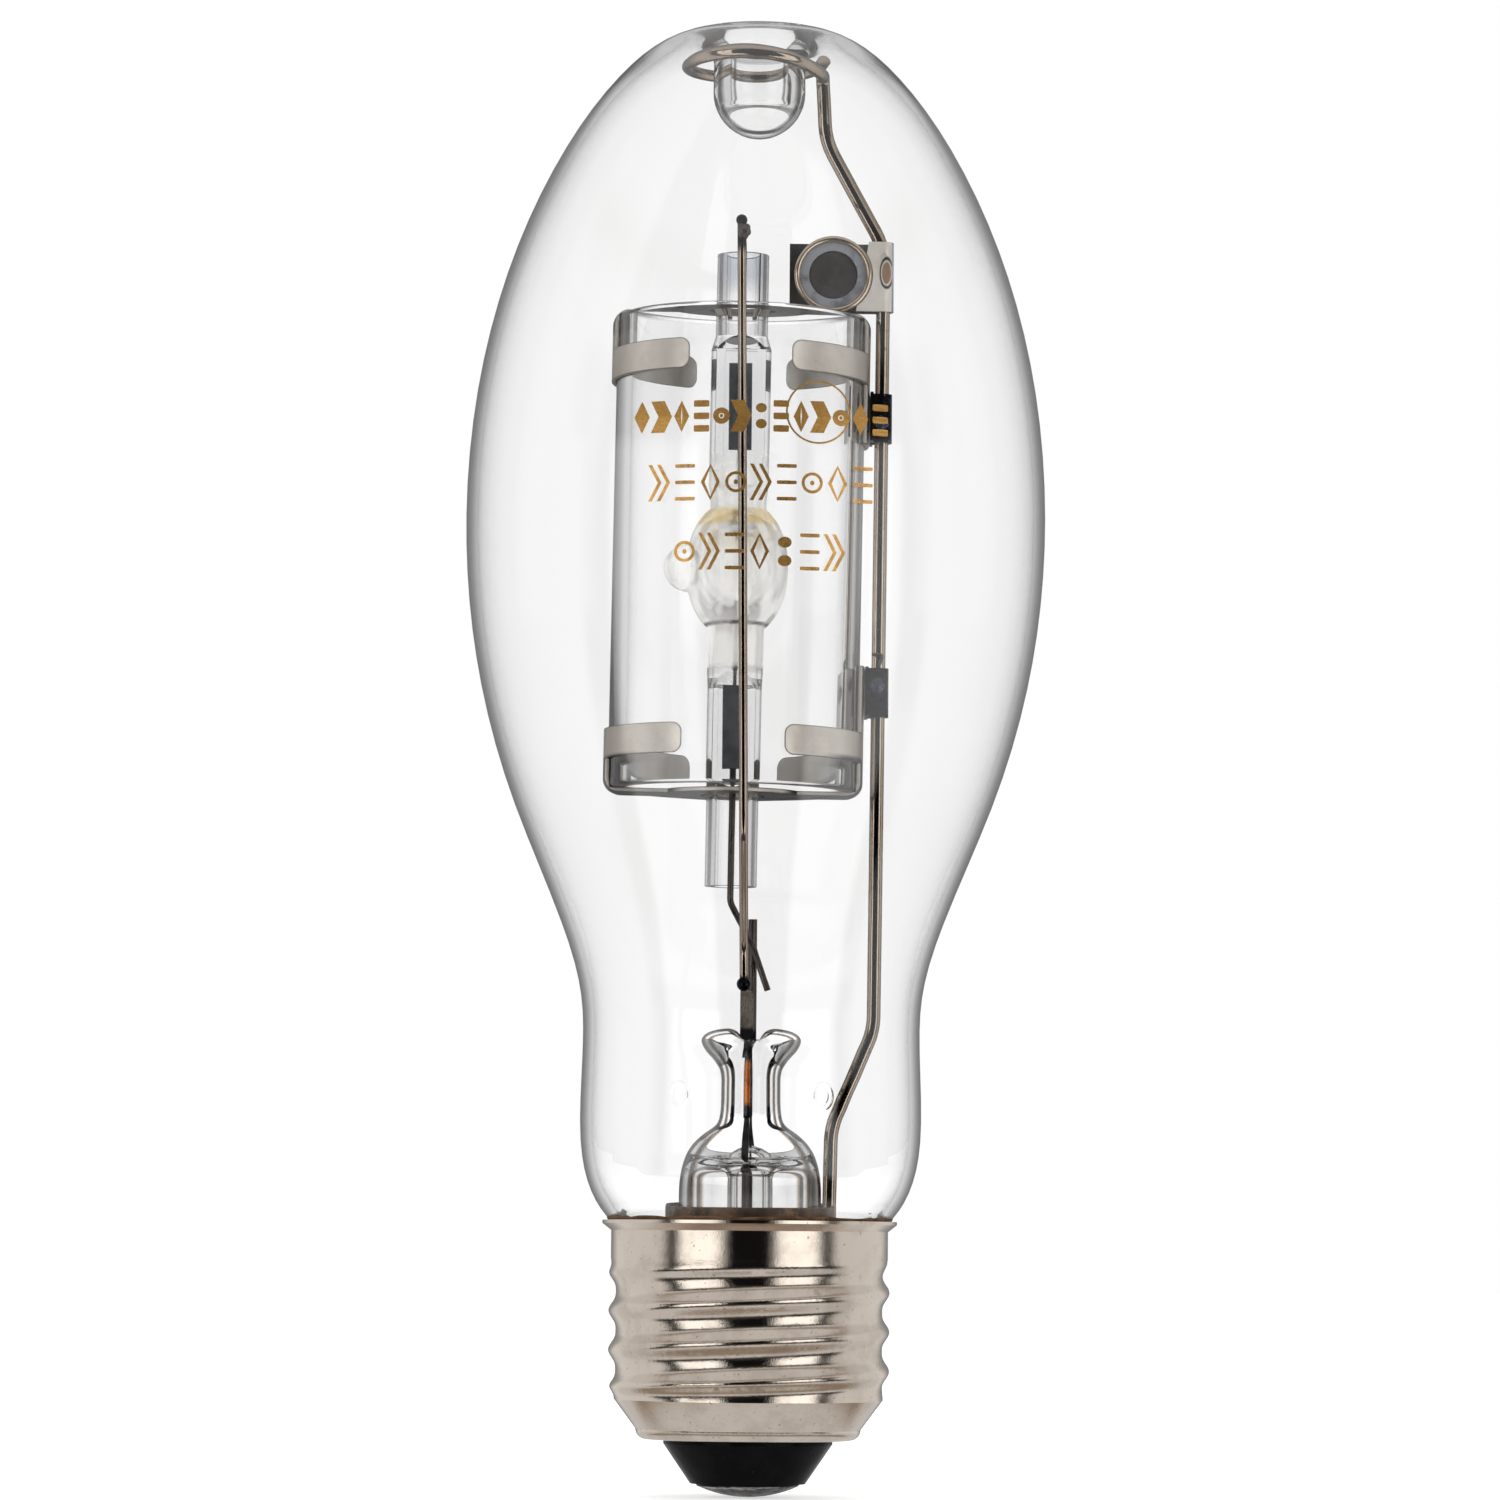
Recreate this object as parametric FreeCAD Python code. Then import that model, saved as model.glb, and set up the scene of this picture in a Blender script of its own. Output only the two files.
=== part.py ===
import FreeCAD
import Part
import math
import os

# Metal halide lamp with a screw base, millimetres, +Z up.
# The origin is the lowest point of the centre contact, on the lamp's axis.
# The front of the lamp looks along -Y.

# Outer bulb, one blown piece: the seal at its foot, sunk into the screw shell,
# then the radius of each station of its outline and the rise to it from below
bulb_wall = 1.0
seal_gap = 1.88
seal_depth = 7.7
seal_length = 4.7
tuck_in_radius = 13.41
tuck_in_rise = 3.75
skirt_radius = 14.43
skirt_rise = 1.5
hem_radius = 15.55
hem_rise = 3.35
bulge_radius = 15.88
bulge_rise = 4.1
waist_radius = 15.7
waist_rise = 6.6
throat_radius = 15.85
throat_rise = 4.5
tuck_radius = 17.95
tuck_rise = 7.5
lower_radius = 22.5
lower_rise = 11.2
lower_belly_radius = 25.7
lower_belly_rise = 11.3
belly_radius = 27.15
belly_rise = 15.0
cheek_radius = 23.65
cheek_rise = 22.8
upper_radius = 18.8
upper_rise = 11.2
shoulder_radius = 13.6
shoulder_rise = 7.5
brow_radius = 9.3
brow_rise = 3.7
crown_radius = 4.4
crown_rise = 1.3
crown_inner_radius = 5.9
crown_wall = 1.2

# Dimple pressed into the crown, its depths counted from the top of the bulb
dimple_radius = 4.35
dimple_depth = 10.35
dimple_straight = 2.9
recess_radius = 2.75
recess_depth = 7.6
recess_floor_round = 0.7
recess_mouth_depth = 1.8

# Screw base: rolled thread, plain collar, flared rim and turned-in bottom
shell_sheet = 0.3
thread_pitch = 3.63
thread_crest_radius = 13.05
thread_root_radius = 12.38
thread_crest_rise = 6.35
thread_sharpness = 1.6
thread_length = 12.95
thread_run_out = 1.6
thread_ledge = 0.03
thread_levels_per_turn = 12
thread_corners = 18
collar_radius = 12.87
collar_length = 3.3
rim_radius = 13.7
rim_lip = 0.65
rim_flat_share = 0.6
taper_top_radius = 12.45
taper_bottom_radius = 10.45
taper_length = 3.65
base_bottom_height = 5.3
base_hole_radius = 7.9
base_corner_radius = 0.95

# Insulator and centre contact
insulator_flange_radius = 9.2
insulator_flange_height = 1.9
insulator_edge_drop = 0.4
insulator_tip_radius = 5.35
contact_radius = 4.75
contact_height = 1.24
contact_edge = 0.2
contact_tube_radius = 1.5
contact_tube_bore = 0.6
contact_tube_length = 3.2
seating_gap = 0.05

# Glass stem with its pressed top and the tube the bulb was emptied through
stem_radius = 6.62
stem_wall = 1.0
stem_shoulder_rise = 5.3
stem_roof_rise = 1.1
stem_flare_depth = 1.6
stem_flare_slope = 0.5
stem_lip_width = 0.5
press_half_width = 2.8
press_neck_rise = 5.2
press_neck_length = 3.5
press_lobe_half_width = 4.6
press_lobe_rise = 3.0
press_crown_rise = 1.3
press_notch_depth = 1.0
press_depth = 12.0
exhaust_outer_radius = 2.12
exhaust_bore_radius = 1.48
exhaust_seat_depth = 0.8
exhaust_depth = 14.7
exhaust_tip_length = 2.5

# Band around the foot of the stem
band_radius = 7.8
band_sheet = 0.35
band_depth = 0.9
band_height = 2.2

# Stem leads, one in front of the other
front_lead_x = -0.45
rear_lead_x = 0.05
stem_lead_spacing = 7.0
ribbon_width = 1.2
ribbon_thickness = 0.35
ribbon_rise = 3.3
rear_lead_radius = 0.42
rear_lead_rise = 10.4
seal_wire_radius = 0.38
seal_wire_depth = 3.0
seal_wire_length = 5.6
tail_wire_radius = 0.3
tail_wire_clearance = 0.8
tail_side_drop = 2.5
tail_side_gap = 0.1

# Frame wire, from the band up to the ring around the dimple
frame_wire_radius = 0.65
frame_foot_x = 7.35
frame_knee_x = 7.5
frame_knee_rise = 9.0
frame_upright_rise = 9.1
frame_upright_bottom_x = 11.4
frame_slant_drop = 0.4
frame_upright_top_x = 11.86
frame_shoulder_drop = 10.5
frame_shoulder_x = 6.3
ring_radius = 6.4
ring_center_x = -0.4
ring_drop = 4.4
ring_rise = 1.3
ring_end_rise = 0.7
ring_rise_angle = 95.0
ring_sweep_angle = 378.0
ring_corner_angle = 27.0

# Getter on a sheet bracket folded round the frame wire
getter_sheet = 0.3
getter_plate_left = 3.0
getter_plate_rise = 0.8
getter_plate_length = 6.6
getter_flap_length = 2.6
getter_flap_slant = 1.2
getter_dimple_width = 1.1
getter_dimple_height = 3.2
getter_dimple_depth = 0.16
getter_dimple_rise = 0.6
getter_cup_x = 7.1
getter_cup_rise = 3.45
getter_cup_radius = 3.67
getter_rim_width = 0.57
getter_cup_depth = 1.8
getter_cup_floor = 0.3
getter_ledge_radius = 2.28
getter_ledge_depth = 0.45
getter_pill_depth = 0.25

# Cage: the glass shroud, its end plates and the arc tube share one axis
cage_x = -1.7
cage_lean = 0.67
cage_rise = 22.1
shroud_radius = 11.7
shroud_wall = 1.5
shroud_length = 44.4

# Folded end plates
plate_sheet = 0.4
plate_strap_width = 5.0
plate_disc_radius = 6.5
plate_corner_radius = 1.3
plate_hole_radius = 3.1
plate_arm_height = 2.8
plate_arm_gap = 9.4
plate_arm_round = 0.9
plate_glass_gap = 0.05
upper_arm_drop = 3.4
lower_arm_drop = 2.7
plate_tab_length = 11.8
prong_count = 4
prong_width = 1.1
prong_sheet = 0.3
prong_root = 0.5
prong_drop = 0.9

# Straps that tie the cage to the frame wire
strap_sheet = 0.3
strap_height = 4.6
strap_flange = 1.3
strap_tab_margin = 0.2
strap_wire_gap = 0.02

# Arc tube: chamber between two pinched ends, open tube beyond each pinch
arc_tube_radius = 2.43
arc_tube_bore = 1.55
lower_tube_length = 9.15
upper_tube_length = 8.5
chamber_radius = 4.8
chamber_wall = 1.0
chamber_length = 10.8
chamber_end_wall = 1.3
chamber_bulge_share = 0.78
chamber_bulge_place = 0.45
neck_radius = 2.62
upper_neck_length = 0.9
lower_neck_length = 4.1
upper_pinch_length = 14.8
upper_pinch_width = 5.6
lower_pinch_rise = 0.3
lower_pinch_length = 11.1
lower_pinch_width = 5.1
pinch_thickness = 3.2
pinch_trough_width = 3.0
pinch_trough_depth = 0.45
pinch_ramp = 1.2
tip_length = 2.1
tip_base_radius = 2.2
tip_root = 0.6

# Foils, electrodes and leads of the arc tube
foil_width = 2.06
foil_thickness = 0.06
upper_foil_margin = 2.4
upper_foil_length = 7.9
lower_foil_margin = 2.5
lower_foil_length = 7.7
electrode_radius = 0.2
electrode_coil_radius = 0.5
electrode_coil_length = 2.3
electrode_coil_set_back = 0.5
arc_gap = 6.6
arc_lead_radius = 0.3
upper_arc_lead_rise = 1.0
lower_lead_crossing_drop = 2.5
lower_lead_straight = 1.5
lower_lead_end_x = 1.5
lower_lead_end_drop = 4.3
arc_lead_bend_radius = 1.2

# Return lead in front of the shroud
return_lead_radius = 0.4
return_lead_y = -13.0
return_lead_top_rise = 0.1
return_lead_top_x = -1.52
return_lead_bend_drop = 4.1
return_lead_foot_x = -0.72
return_lead_foot_rise = 0.6
return_lead_foot_length = 3.0
return_lead_bend_radius = 4.0
weld_bead_radius = 0.68
top_bead_radius = 0.52

# Short tail of fine wire caught under the lower strap
tail_curl_radius = 0.16
tail_curl_width = 0.9
tail_curl_height = 1.1

# Shaping of curves: handles of a smooth bridge as a share of its length, the
# largest share of a straight run that one bend may take, and how far a cutting
# shape stands out past what it cuts
bridge_handle = 0.4
bend_share = 0.49
cut_margin = 1.0

# Places that follow from the sizes above
thread_bottom = base_bottom_height + taper_length
thread_top = thread_bottom + thread_length
rim_height = thread_top + collar_length
seal_height = rim_height - seal_depth
seal_top = seal_height + seal_length
seal_radius = thread_root_radius - shell_sheet - seal_gap
bulb_stations = [
    (tuck_in_radius, tuck_in_rise),
    (skirt_radius, skirt_rise),
    (hem_radius, hem_rise),
    (bulge_radius, bulge_rise),
    (waist_radius, waist_rise),
    (throat_radius, throat_rise),
    (tuck_radius, tuck_rise),
    (lower_radius, lower_rise),
    (lower_belly_radius, lower_belly_rise),
    (belly_radius, belly_rise),
    (cheek_radius, cheek_rise),
    (upper_radius, upper_rise),
    (shoulder_radius, shoulder_rise),
    (brow_radius, brow_rise),
    (crown_radius, crown_rise),
]
bulb_top = seal_top + sum(rise for _, rise in bulb_stations)
dimple_bottom = bulb_top - dimple_depth
stem_flare_height = rim_height - stem_flare_depth
band_bottom = rim_height - band_depth
stem_shoulder_height = rim_height + stem_shoulder_rise
stem_roof_height = stem_shoulder_height + stem_roof_rise
exhaust_bottom = rim_height - exhaust_depth
press_neck_bottom = stem_shoulder_height + press_neck_rise
press_neck_top = press_neck_bottom + press_neck_length
press_lobe_height = press_neck_top + press_lobe_rise
press_top = press_lobe_height + press_crown_rise
ribbon_top = press_top + ribbon_rise
rear_lead_top = press_top + rear_lead_rise
seal_wire_top = press_top - seal_wire_depth
seal_wire_bottom = seal_wire_top - seal_wire_length
shroud_bottom = press_top + cage_rise
shroud_top = shroud_bottom + shroud_length
cage_middle = (shroud_bottom + shroud_top) / 2
lower_pinch_bottom = shroud_bottom + lower_pinch_rise
lower_pinch_top = lower_pinch_bottom + lower_pinch_length
arc_tube_bottom = lower_pinch_bottom - lower_tube_length
chamber_bottom = lower_pinch_top + lower_neck_length
chamber_top = chamber_bottom + chamber_length
chamber_middle = (chamber_bottom + chamber_top) / 2
upper_pinch_bottom = chamber_top + upper_neck_length
upper_pinch_top = upper_pinch_bottom + upper_pinch_length
arc_tube_top = upper_pinch_top + upper_tube_length
lower_foil_bottom = lower_pinch_bottom + lower_foil_margin
lower_foil_top = lower_foil_bottom + lower_foil_length
upper_foil_top = upper_pinch_top - upper_foil_margin
upper_foil_bottom = upper_foil_top - upper_foil_length
upper_arc_lead_height = arc_tube_top + upper_arc_lead_rise
lower_lead_crossing_height = rear_lead_top - lower_lead_crossing_drop
return_lead_top = upper_arc_lead_height + return_lead_top_rise
return_lead_foot_height = ribbon_top + return_lead_foot_rise
frame_knee_height = rim_height + frame_knee_rise
frame_upright_bottom = frame_knee_height + frame_upright_rise
getter_plate_bottom = shroud_top + getter_plate_rise
getter_plate_top = getter_plate_bottom + getter_plate_length
getter_cup_height = getter_plate_bottom + getter_cup_rise
frame_upright_top = getter_plate_top - frame_slant_drop

Z_AXIS = FreeCAD.Vector(0, 0, 1)
ORIGIN = FreeCAD.Vector(0, 0, 0)


def vec(x, y, z):
    return FreeCAD.Vector(x, y, z)


def cylinder(radius, bottom, top, x=0.0, y=0.0):
    return Part.makeCylinder(radius, top - bottom, vec(x, y, bottom))


def tube(outer, inner, bottom, top, x=0.0, y=0.0):
    return cylinder(outer, bottom, top, x, y).cut(cylinder(inner, bottom, top, x, y))


def box(x_low, x_high, y_low, y_high, z_low, z_high):
    return Part.makeBox(x_high - x_low, y_high - y_low, z_high - z_low, vec(x_low, y_low, z_low))


def line(start, end):
    return Part.LineSegment(start, end).toShape()


def arc(start, middle, end):
    return Part.Arc(start, middle, end).toShape()


def spline(points):
    curve = Part.BSplineCurve()
    curve.interpolate(points)
    return curve


def bridge(start, start_direction, end, end_direction):
    """One smooth curve that leaves and arrives in the given directions."""
    handle = bridge_handle * (end - start).Length
    first = start + FreeCAD.Vector(start_direction).normalize() * handle
    last = end - FreeCAD.Vector(end_direction).normalize() * handle
    curve = Part.BezierCurve()
    curve.setPoles([start, first, last, end])
    return curve.toShape()


def polyline(points):
    return [line(start, end) for start, end in zip(points, points[1:])]


def spin(edges):
    """Solid of revolution about the Z axis from a closed outline in the XZ plane."""
    face = Part.Face(Part.Wire(edges))
    return face.revolve(ORIGIN, Z_AXIS, 360)


def offset_points(curve, points, distance):
    """Points moved square to an outline that runs down the right-hand side, towards the axis."""
    moved = []
    for point in points:
        tangent = curve.tangent(curve.parameter(point))[0]
        moved.append(point + vec(tangent.z, 0, -tangent.x) * distance)
    return moved


def bent_path(points, bend_radius):
    """Straight runs joined by tangent arcs, each as large as its two runs allow."""
    edges = []
    start = points[0]
    for before, corner, after in zip(points, points[1:], points[2:]):
        inward = (before - corner).normalize()
        outward = (after - corner).normalize()
        turn = math.pi - inward.getAngle(outward)
        shorter_run = min((before - corner).Length, (after - corner).Length)
        reach = min(bend_radius * math.tan(turn / 2), bend_share * shorter_run)
        radius = reach / math.tan(turn / 2)
        first = corner + inward * reach
        last = corner + outward * reach
        to_centre = (inward + outward).normalize()
        depth = radius / math.cos(turn / 2) - radius
        edges.append(line(start, first))
        edges.append(arc(first, corner + to_centre * depth, last))
        start = last
    edges.append(line(start, points[-1]))
    return Part.Wire(edges)


def wire_along(path, radius):
    """Round wire swept along a path."""
    first = path.Edges[0]
    start = first.valueAt(first.FirstParameter)
    direction = first.tangentAt(first.FirstParameter)
    disc = Part.Face(Part.Wire(Part.makeCircle(radius, start, direction)))
    return path.makePipe(disc)


def bent_wire(points, bend_radius, radius):
    return wire_along(bent_path(points, bend_radius), radius)


def in_cage(shape):
    """Moves a shape built about the Z axis onto the leaning axis of the cage."""
    placed = shape.copy()
    placed.rotate(vec(0, 0, cage_middle), vec(0, 1, 0), cage_lean)
    placed.translate(vec(cage_x, 0, 0))
    return placed


def cage_point(x, y, z):
    lean = math.radians(cage_lean)
    rise = z - cage_middle
    return vec(
        cage_x + x * math.cos(lean) + rise * math.sin(lean),
        y,
        cage_middle - x * math.sin(lean) + rise * math.cos(lean),
    )


def frame_upright_x(height):
    share = (height - frame_upright_bottom) / (frame_upright_top - frame_upright_bottom)
    return frame_upright_bottom_x + share * (frame_upright_top_x - frame_upright_bottom_x)


def return_lead_x(height):
    share = (height - return_lead_foot_height) / (return_lead_top - return_lead_foot_height)
    return return_lead_foot_x + share * (return_lead_top_x - return_lead_foot_x)


def bulb_outline():
    """Stations of the bulb's outer skin, from the crown down to the seal."""
    height = seal_top
    points = []
    for radius, rise in bulb_stations:
        height += rise
        points.append(vec(radius, 0, height))
    return points[::-1]


def bulb_skin():
    return spline(bulb_outline())


def envelope():
    """Outer bulb, one wall thick, with the dimple pressed into its crown."""
    outer_points = bulb_outline()
    outer = bulb_skin()
    inner_points = offset_points(outer, outer_points[1:], bulb_wall)
    crown_slope = outer.tangent(outer.FirstParameter)[0]
    inner = spline(inner_points)
    inner_slope = inner.tangent(inner.FirstParameter)[0]
    cone_turn = math.atan2(outer_points[-1].x - seal_radius, outer_points[-1].z - seal_top)
    seal_inner_top = seal_top - bulb_wall * math.tan(cone_turn / 2)
    recess_floor = bulb_top - recess_depth
    floor_edge = vec(recess_radius - recess_floor_round, 0, recess_floor)
    floor_turn = vec(
        recess_radius - recess_floor_round * (1 - math.sqrt(0.5)),
        0,
        recess_floor + recess_floor_round * (1 - math.sqrt(0.5)),
    )
    recess_wall = vec(recess_radius, 0, recess_floor + recess_floor_round)
    mouth = vec(recess_radius, 0, bulb_top - recess_mouth_depth)
    nose = vec(0, 0, dimple_bottom)
    nose_side = vec(dimple_radius, 0, dimple_bottom + dimple_radius)
    nose_turn = vec(
        dimple_radius * math.sqrt(0.5),
        0,
        dimple_bottom + dimple_radius * (1 - math.sqrt(0.5)),
    )
    neck = vec(dimple_radius, 0, dimple_bottom + dimple_radius + dimple_straight)
    crown_inside = vec(crown_inner_radius, 0, bulb_top - crown_wall)
    edges = [
        line(vec(0, 0, recess_floor), floor_edge),
        arc(floor_edge, floor_turn, recess_wall),
        line(recess_wall, mouth),
        bridge(mouth, Z_AXIS, outer_points[0], crown_slope),
        outer.toShape(),
        line(outer_points[-1], vec(seal_radius, 0, seal_top)),
        line(vec(seal_radius, 0, seal_top), vec(seal_radius, 0, seal_height)),
        line(vec(seal_radius, 0, seal_height), vec(seal_radius - bulb_wall, 0, seal_height)),
        line(vec(seal_radius - bulb_wall, 0, seal_height), vec(seal_radius - bulb_wall, 0, seal_inner_top)),
        line(vec(seal_radius - bulb_wall, 0, seal_inner_top), inner_points[-1]),
        inner.toShape(),
        bridge(crown_inside, vec(1, 0, 0), inner_points[0], inner_slope),
        bridge(neck, Z_AXIS, crown_inside, vec(1, 0, 0)),
        line(neck, nose_side),
        arc(nose_side, nose_turn, nose),
        line(nose, vec(0, 0, recess_floor)),
    ]
    return spin(edges)


def bulb_block():
    """The space inside the bulb's outer skin, used to shape what the neck sits in."""
    points = bulb_outline()
    edges = [bulb_skin().toShape()]
    edges += polyline([
        points[-1],
        vec(seal_radius, 0, seal_top),
        vec(seal_radius, 0, seal_height),
        vec(0, 0, seal_height),
        vec(0, 0, bulb_top),
        points[0],
    ])
    return spin(edges)


def smooth_step(value):
    limited = max(0.0, min(1.0, value))
    return limited * limited * (3 - 2 * limited)


def thread_radius(angle, height):
    """Outer radius of the rolled thread, which fades into the plain bands above and below."""
    phase = (height - thread_bottom - thread_crest_rise) / thread_pitch - angle / (2 * math.pi)
    ridge = ((1 + math.cos(2 * math.pi * phase)) / 2) ** thread_sharpness
    rolled = thread_root_radius + (thread_crest_radius - thread_root_radius) * ridge
    to_top = smooth_step((height - thread_top + thread_run_out) / thread_run_out)
    to_bottom = smooth_step((thread_bottom + thread_run_out - height) / thread_run_out)
    rolled = rolled + (collar_radius - thread_ledge - rolled) * to_top
    return rolled + (taper_top_radius + thread_ledge - rolled) * to_bottom


def thread_barrel(inset):
    """Solid barrel with the rolled thread on it, lofted through level outlines."""
    levels = math.ceil(thread_levels_per_turn * (thread_top - thread_bottom) / thread_pitch) + 1
    turn_shares = [corner / thread_corners for corner in range(thread_corners + 1)]
    outlines = []
    for level in range(levels):
        height = thread_bottom + (thread_top - thread_bottom) * level / (levels - 1)
        points = []
        for share in turn_shares[:-1]:
            angle = 2 * math.pi * share
            radius = thread_radius(angle, height) - inset
            points.append(vec(radius * math.cos(angle), radius * math.sin(angle), height))
        curve = Part.BSplineCurve()
        curve.interpolate(Points=points, PeriodicFlag=True, Parameters=turn_shares)
        outlines.append(Part.Wire(curve.toShape()))
    return Part.makeLoft(outlines, True, False)


def rim_inside():
    """Inside of the collar and of the flare up to its lip, from the bottom up."""
    flare = rim_radius - collar_radius
    return [
        vec(collar_radius - shell_sheet, 0, thread_top),
        vec(collar_radius - shell_sheet, 0, rim_height - rim_lip + shell_sheet / 2),
        vec(rim_radius - flare * rim_flat_share, 0, rim_height + shell_sheet * rim_flat_share),
    ]


def screw_shell():
    """Rolled sheet shell: flared rim, plain collar, thread, taper and turned-in bottom."""
    sheet = shell_sheet
    threaded = thread_barrel(0).cut(thread_barrel(sheet))
    collar = spin(polyline([
        vec(collar_radius, 0, thread_top),
        vec(collar_radius, 0, rim_height - rim_lip),
        vec(rim_radius, 0, rim_height),
        vec(rim_radius, 0, rim_height + sheet),
        *reversed(rim_inside()),
        vec(collar_radius, 0, thread_top),
    ]))
    corner = base_corner_radius
    turn = math.sqrt(0.5)
    bottom = base_bottom_height
    top = thread_bottom
    foot = bottom + corner
    flat_end = taper_bottom_radius - corner
    inner_corner = corner - sheet
    outer_turn = vec(flat_end + corner * turn, 0, bottom + corner * (1 - turn))
    inner_turn = vec(flat_end + inner_corner * turn, 0, bottom + sheet + inner_corner * (1 - turn))
    taper = spin([
        line(vec(taper_top_radius, 0, top), vec(taper_bottom_radius, 0, foot)),
        arc(vec(taper_bottom_radius, 0, foot), outer_turn, vec(flat_end, 0, bottom)),
        line(vec(flat_end, 0, bottom), vec(base_hole_radius, 0, bottom)),
        line(vec(base_hole_radius, 0, bottom), vec(base_hole_radius, 0, bottom + sheet)),
        line(vec(base_hole_radius, 0, bottom + sheet), vec(flat_end, 0, bottom + sheet)),
        arc(vec(flat_end, 0, bottom + sheet), inner_turn, vec(taper_bottom_radius - sheet, 0, foot)),
        line(vec(taper_bottom_radius - sheet, 0, foot), vec(taper_top_radius - sheet, 0, top)),
        line(vec(taper_top_radius - sheet, 0, top), vec(taper_top_radius, 0, top)),
    ])
    return threaded.fuse([collar, taper]).removeSplitter()


def basing_cement():
    """Ring of cement between the bulb's neck and the collar of the shell."""
    inside = rim_inside()
    top = inside[-1].z
    ring = spin(polyline([*inside, vec(0, 0, top), vec(0, 0, thread_top), inside[0]]))
    return ring.cut(bulb_block())


def insulator_top():
    return base_bottom_height + shell_sheet + insulator_flange_height


def base_insulator():
    """Black glass cone that closes the shell, with a bore for the centre contact."""
    inside = base_bottom_height + shell_sheet
    waist = base_hole_radius - seating_gap
    return spin(polyline([
        vec(contact_tube_radius, 0, contact_height),
        vec(insulator_tip_radius, 0, contact_height),
        vec(waist, 0, base_bottom_height - insulator_edge_drop),
        vec(waist, 0, inside),
        vec(insulator_flange_radius, 0, inside),
        vec(insulator_flange_radius, 0, insulator_top()),
        vec(contact_tube_radius, 0, insulator_top()),
        vec(contact_tube_radius, 0, contact_height),
    ]))


def centre_contact():
    """Domed contact with the short tube that takes the lead, closed by solder at the tip."""
    dome = contact_height - contact_edge
    curve = (contact_radius ** 2 + dome ** 2) / (2 * dome)
    half_way = contact_radius / 2
    crown = vec(half_way, 0, curve - math.sqrt(curve ** 2 - half_way ** 2))
    top = contact_height + contact_tube_length
    edges = [arc(vec(0, 0, 0), crown, vec(contact_radius, 0, dome))]
    edges += polyline([
        vec(contact_radius, 0, dome),
        vec(contact_radius, 0, contact_height),
        vec(contact_tube_radius, 0, contact_height),
        vec(contact_tube_radius, 0, top),
        vec(contact_tube_bore, 0, top),
        vec(contact_tube_bore, 0, contact_height),
        vec(0, 0, contact_height),
        vec(0, 0, 0),
    ])
    return spin(edges)


def front_lead_y():
    return -stem_lead_spacing / 2


def rear_lead_y():
    return stem_lead_spacing / 2


def press_block():
    """Pressed top of the stem: shoulders, flat neck and two lobes with a notch between."""
    shoulder = vec(stem_radius, 0, stem_shoulder_height)
    neck_low = vec(press_half_width, 0, press_neck_bottom)
    neck_high = vec(press_half_width, 0, press_neck_top)
    lobe_side = vec(press_lobe_half_width, 0, press_lobe_height)
    lobe_top = vec(press_lobe_half_width / 2, 0, press_top)
    notch = vec(0, 0, press_top - press_notch_depth)
    middle = vec(0, 0, stem_shoulder_height)
    half_face = Part.Face(Part.Wire([
        bridge(shoulder, Z_AXIS, neck_low, Z_AXIS),
        line(neck_low, neck_high),
        bridge(neck_high, Z_AXIS, lobe_side, Z_AXIS),
        bridge(lobe_side, Z_AXIS, lobe_top, vec(-1, 0, 0)),
        bridge(lobe_top, vec(-1, 0, 0), notch, vec(-1, 0, -1)),
        line(notch, middle),
        line(middle, shoulder),
    ]))
    half_block = half_face.extrude(vec(0, press_depth, 0))
    half_block.translate(vec(0, -press_depth / 2, 0))
    other_half = half_block.mirror(ORIGIN, vec(1, 0, 0))
    block = half_block.fuse(other_half).removeSplitter()
    return block.common(cylinder(stem_radius, stem_shoulder_height, press_top + cut_margin))


def stem_flare():
    """Hollow lower part of the stem, flared to meet the bulb's neck at the seal."""
    rim = seal_radius - bulb_wall
    inner = stem_radius - stem_wall
    flare = vec(stem_radius, 0, stem_flare_height)
    inner_flare = vec(inner, 0, stem_flare_height)
    lip = vec(rim, 0, seal_height + stem_wall)
    lip_bottom = vec(rim, 0, seal_height)
    inner_lip = vec(rim - stem_lip_width, 0, seal_height)
    roof = vec(0, 0, stem_roof_height)
    roof_edge = vec(inner, 0, stem_shoulder_height - stem_wall)
    edges = [
        line(vec(0, 0, stem_roof_height), vec(0, 0, stem_roof_height + stem_wall)),
        line(vec(0, 0, stem_roof_height + stem_wall), vec(stem_radius, 0, stem_shoulder_height)),
        line(vec(stem_radius, 0, stem_shoulder_height), flare),
        bridge(flare, -Z_AXIS, lip, vec(1, 0, -stem_flare_slope)),
        line(lip, lip_bottom),
        line(lip_bottom, inner_lip),
        bridge(inner_lip, vec(-1, 0, stem_flare_slope), inner_flare, Z_AXIS),
        line(inner_flare, roof_edge),
        bridge(roof_edge, Z_AXIS, roof, vec(-1, 0, 0)),
    ]
    return spin(edges)


def stem():
    """Glass stem, with bores where its leads and exhaust tube are sealed in."""
    glass = stem_flare().fuse(press_block()).removeSplitter()
    exhaust_seat = cylinder(
        exhaust_outer_radius, stem_shoulder_height, stem_roof_height + exhaust_seat_depth
    )
    leads = [front_stem_lead(), rear_stem_lead(), *seal_wires(), front_tail_wire(), rear_tail_wire()]
    return glass.cut([exhaust_seat, *leads])


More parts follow.
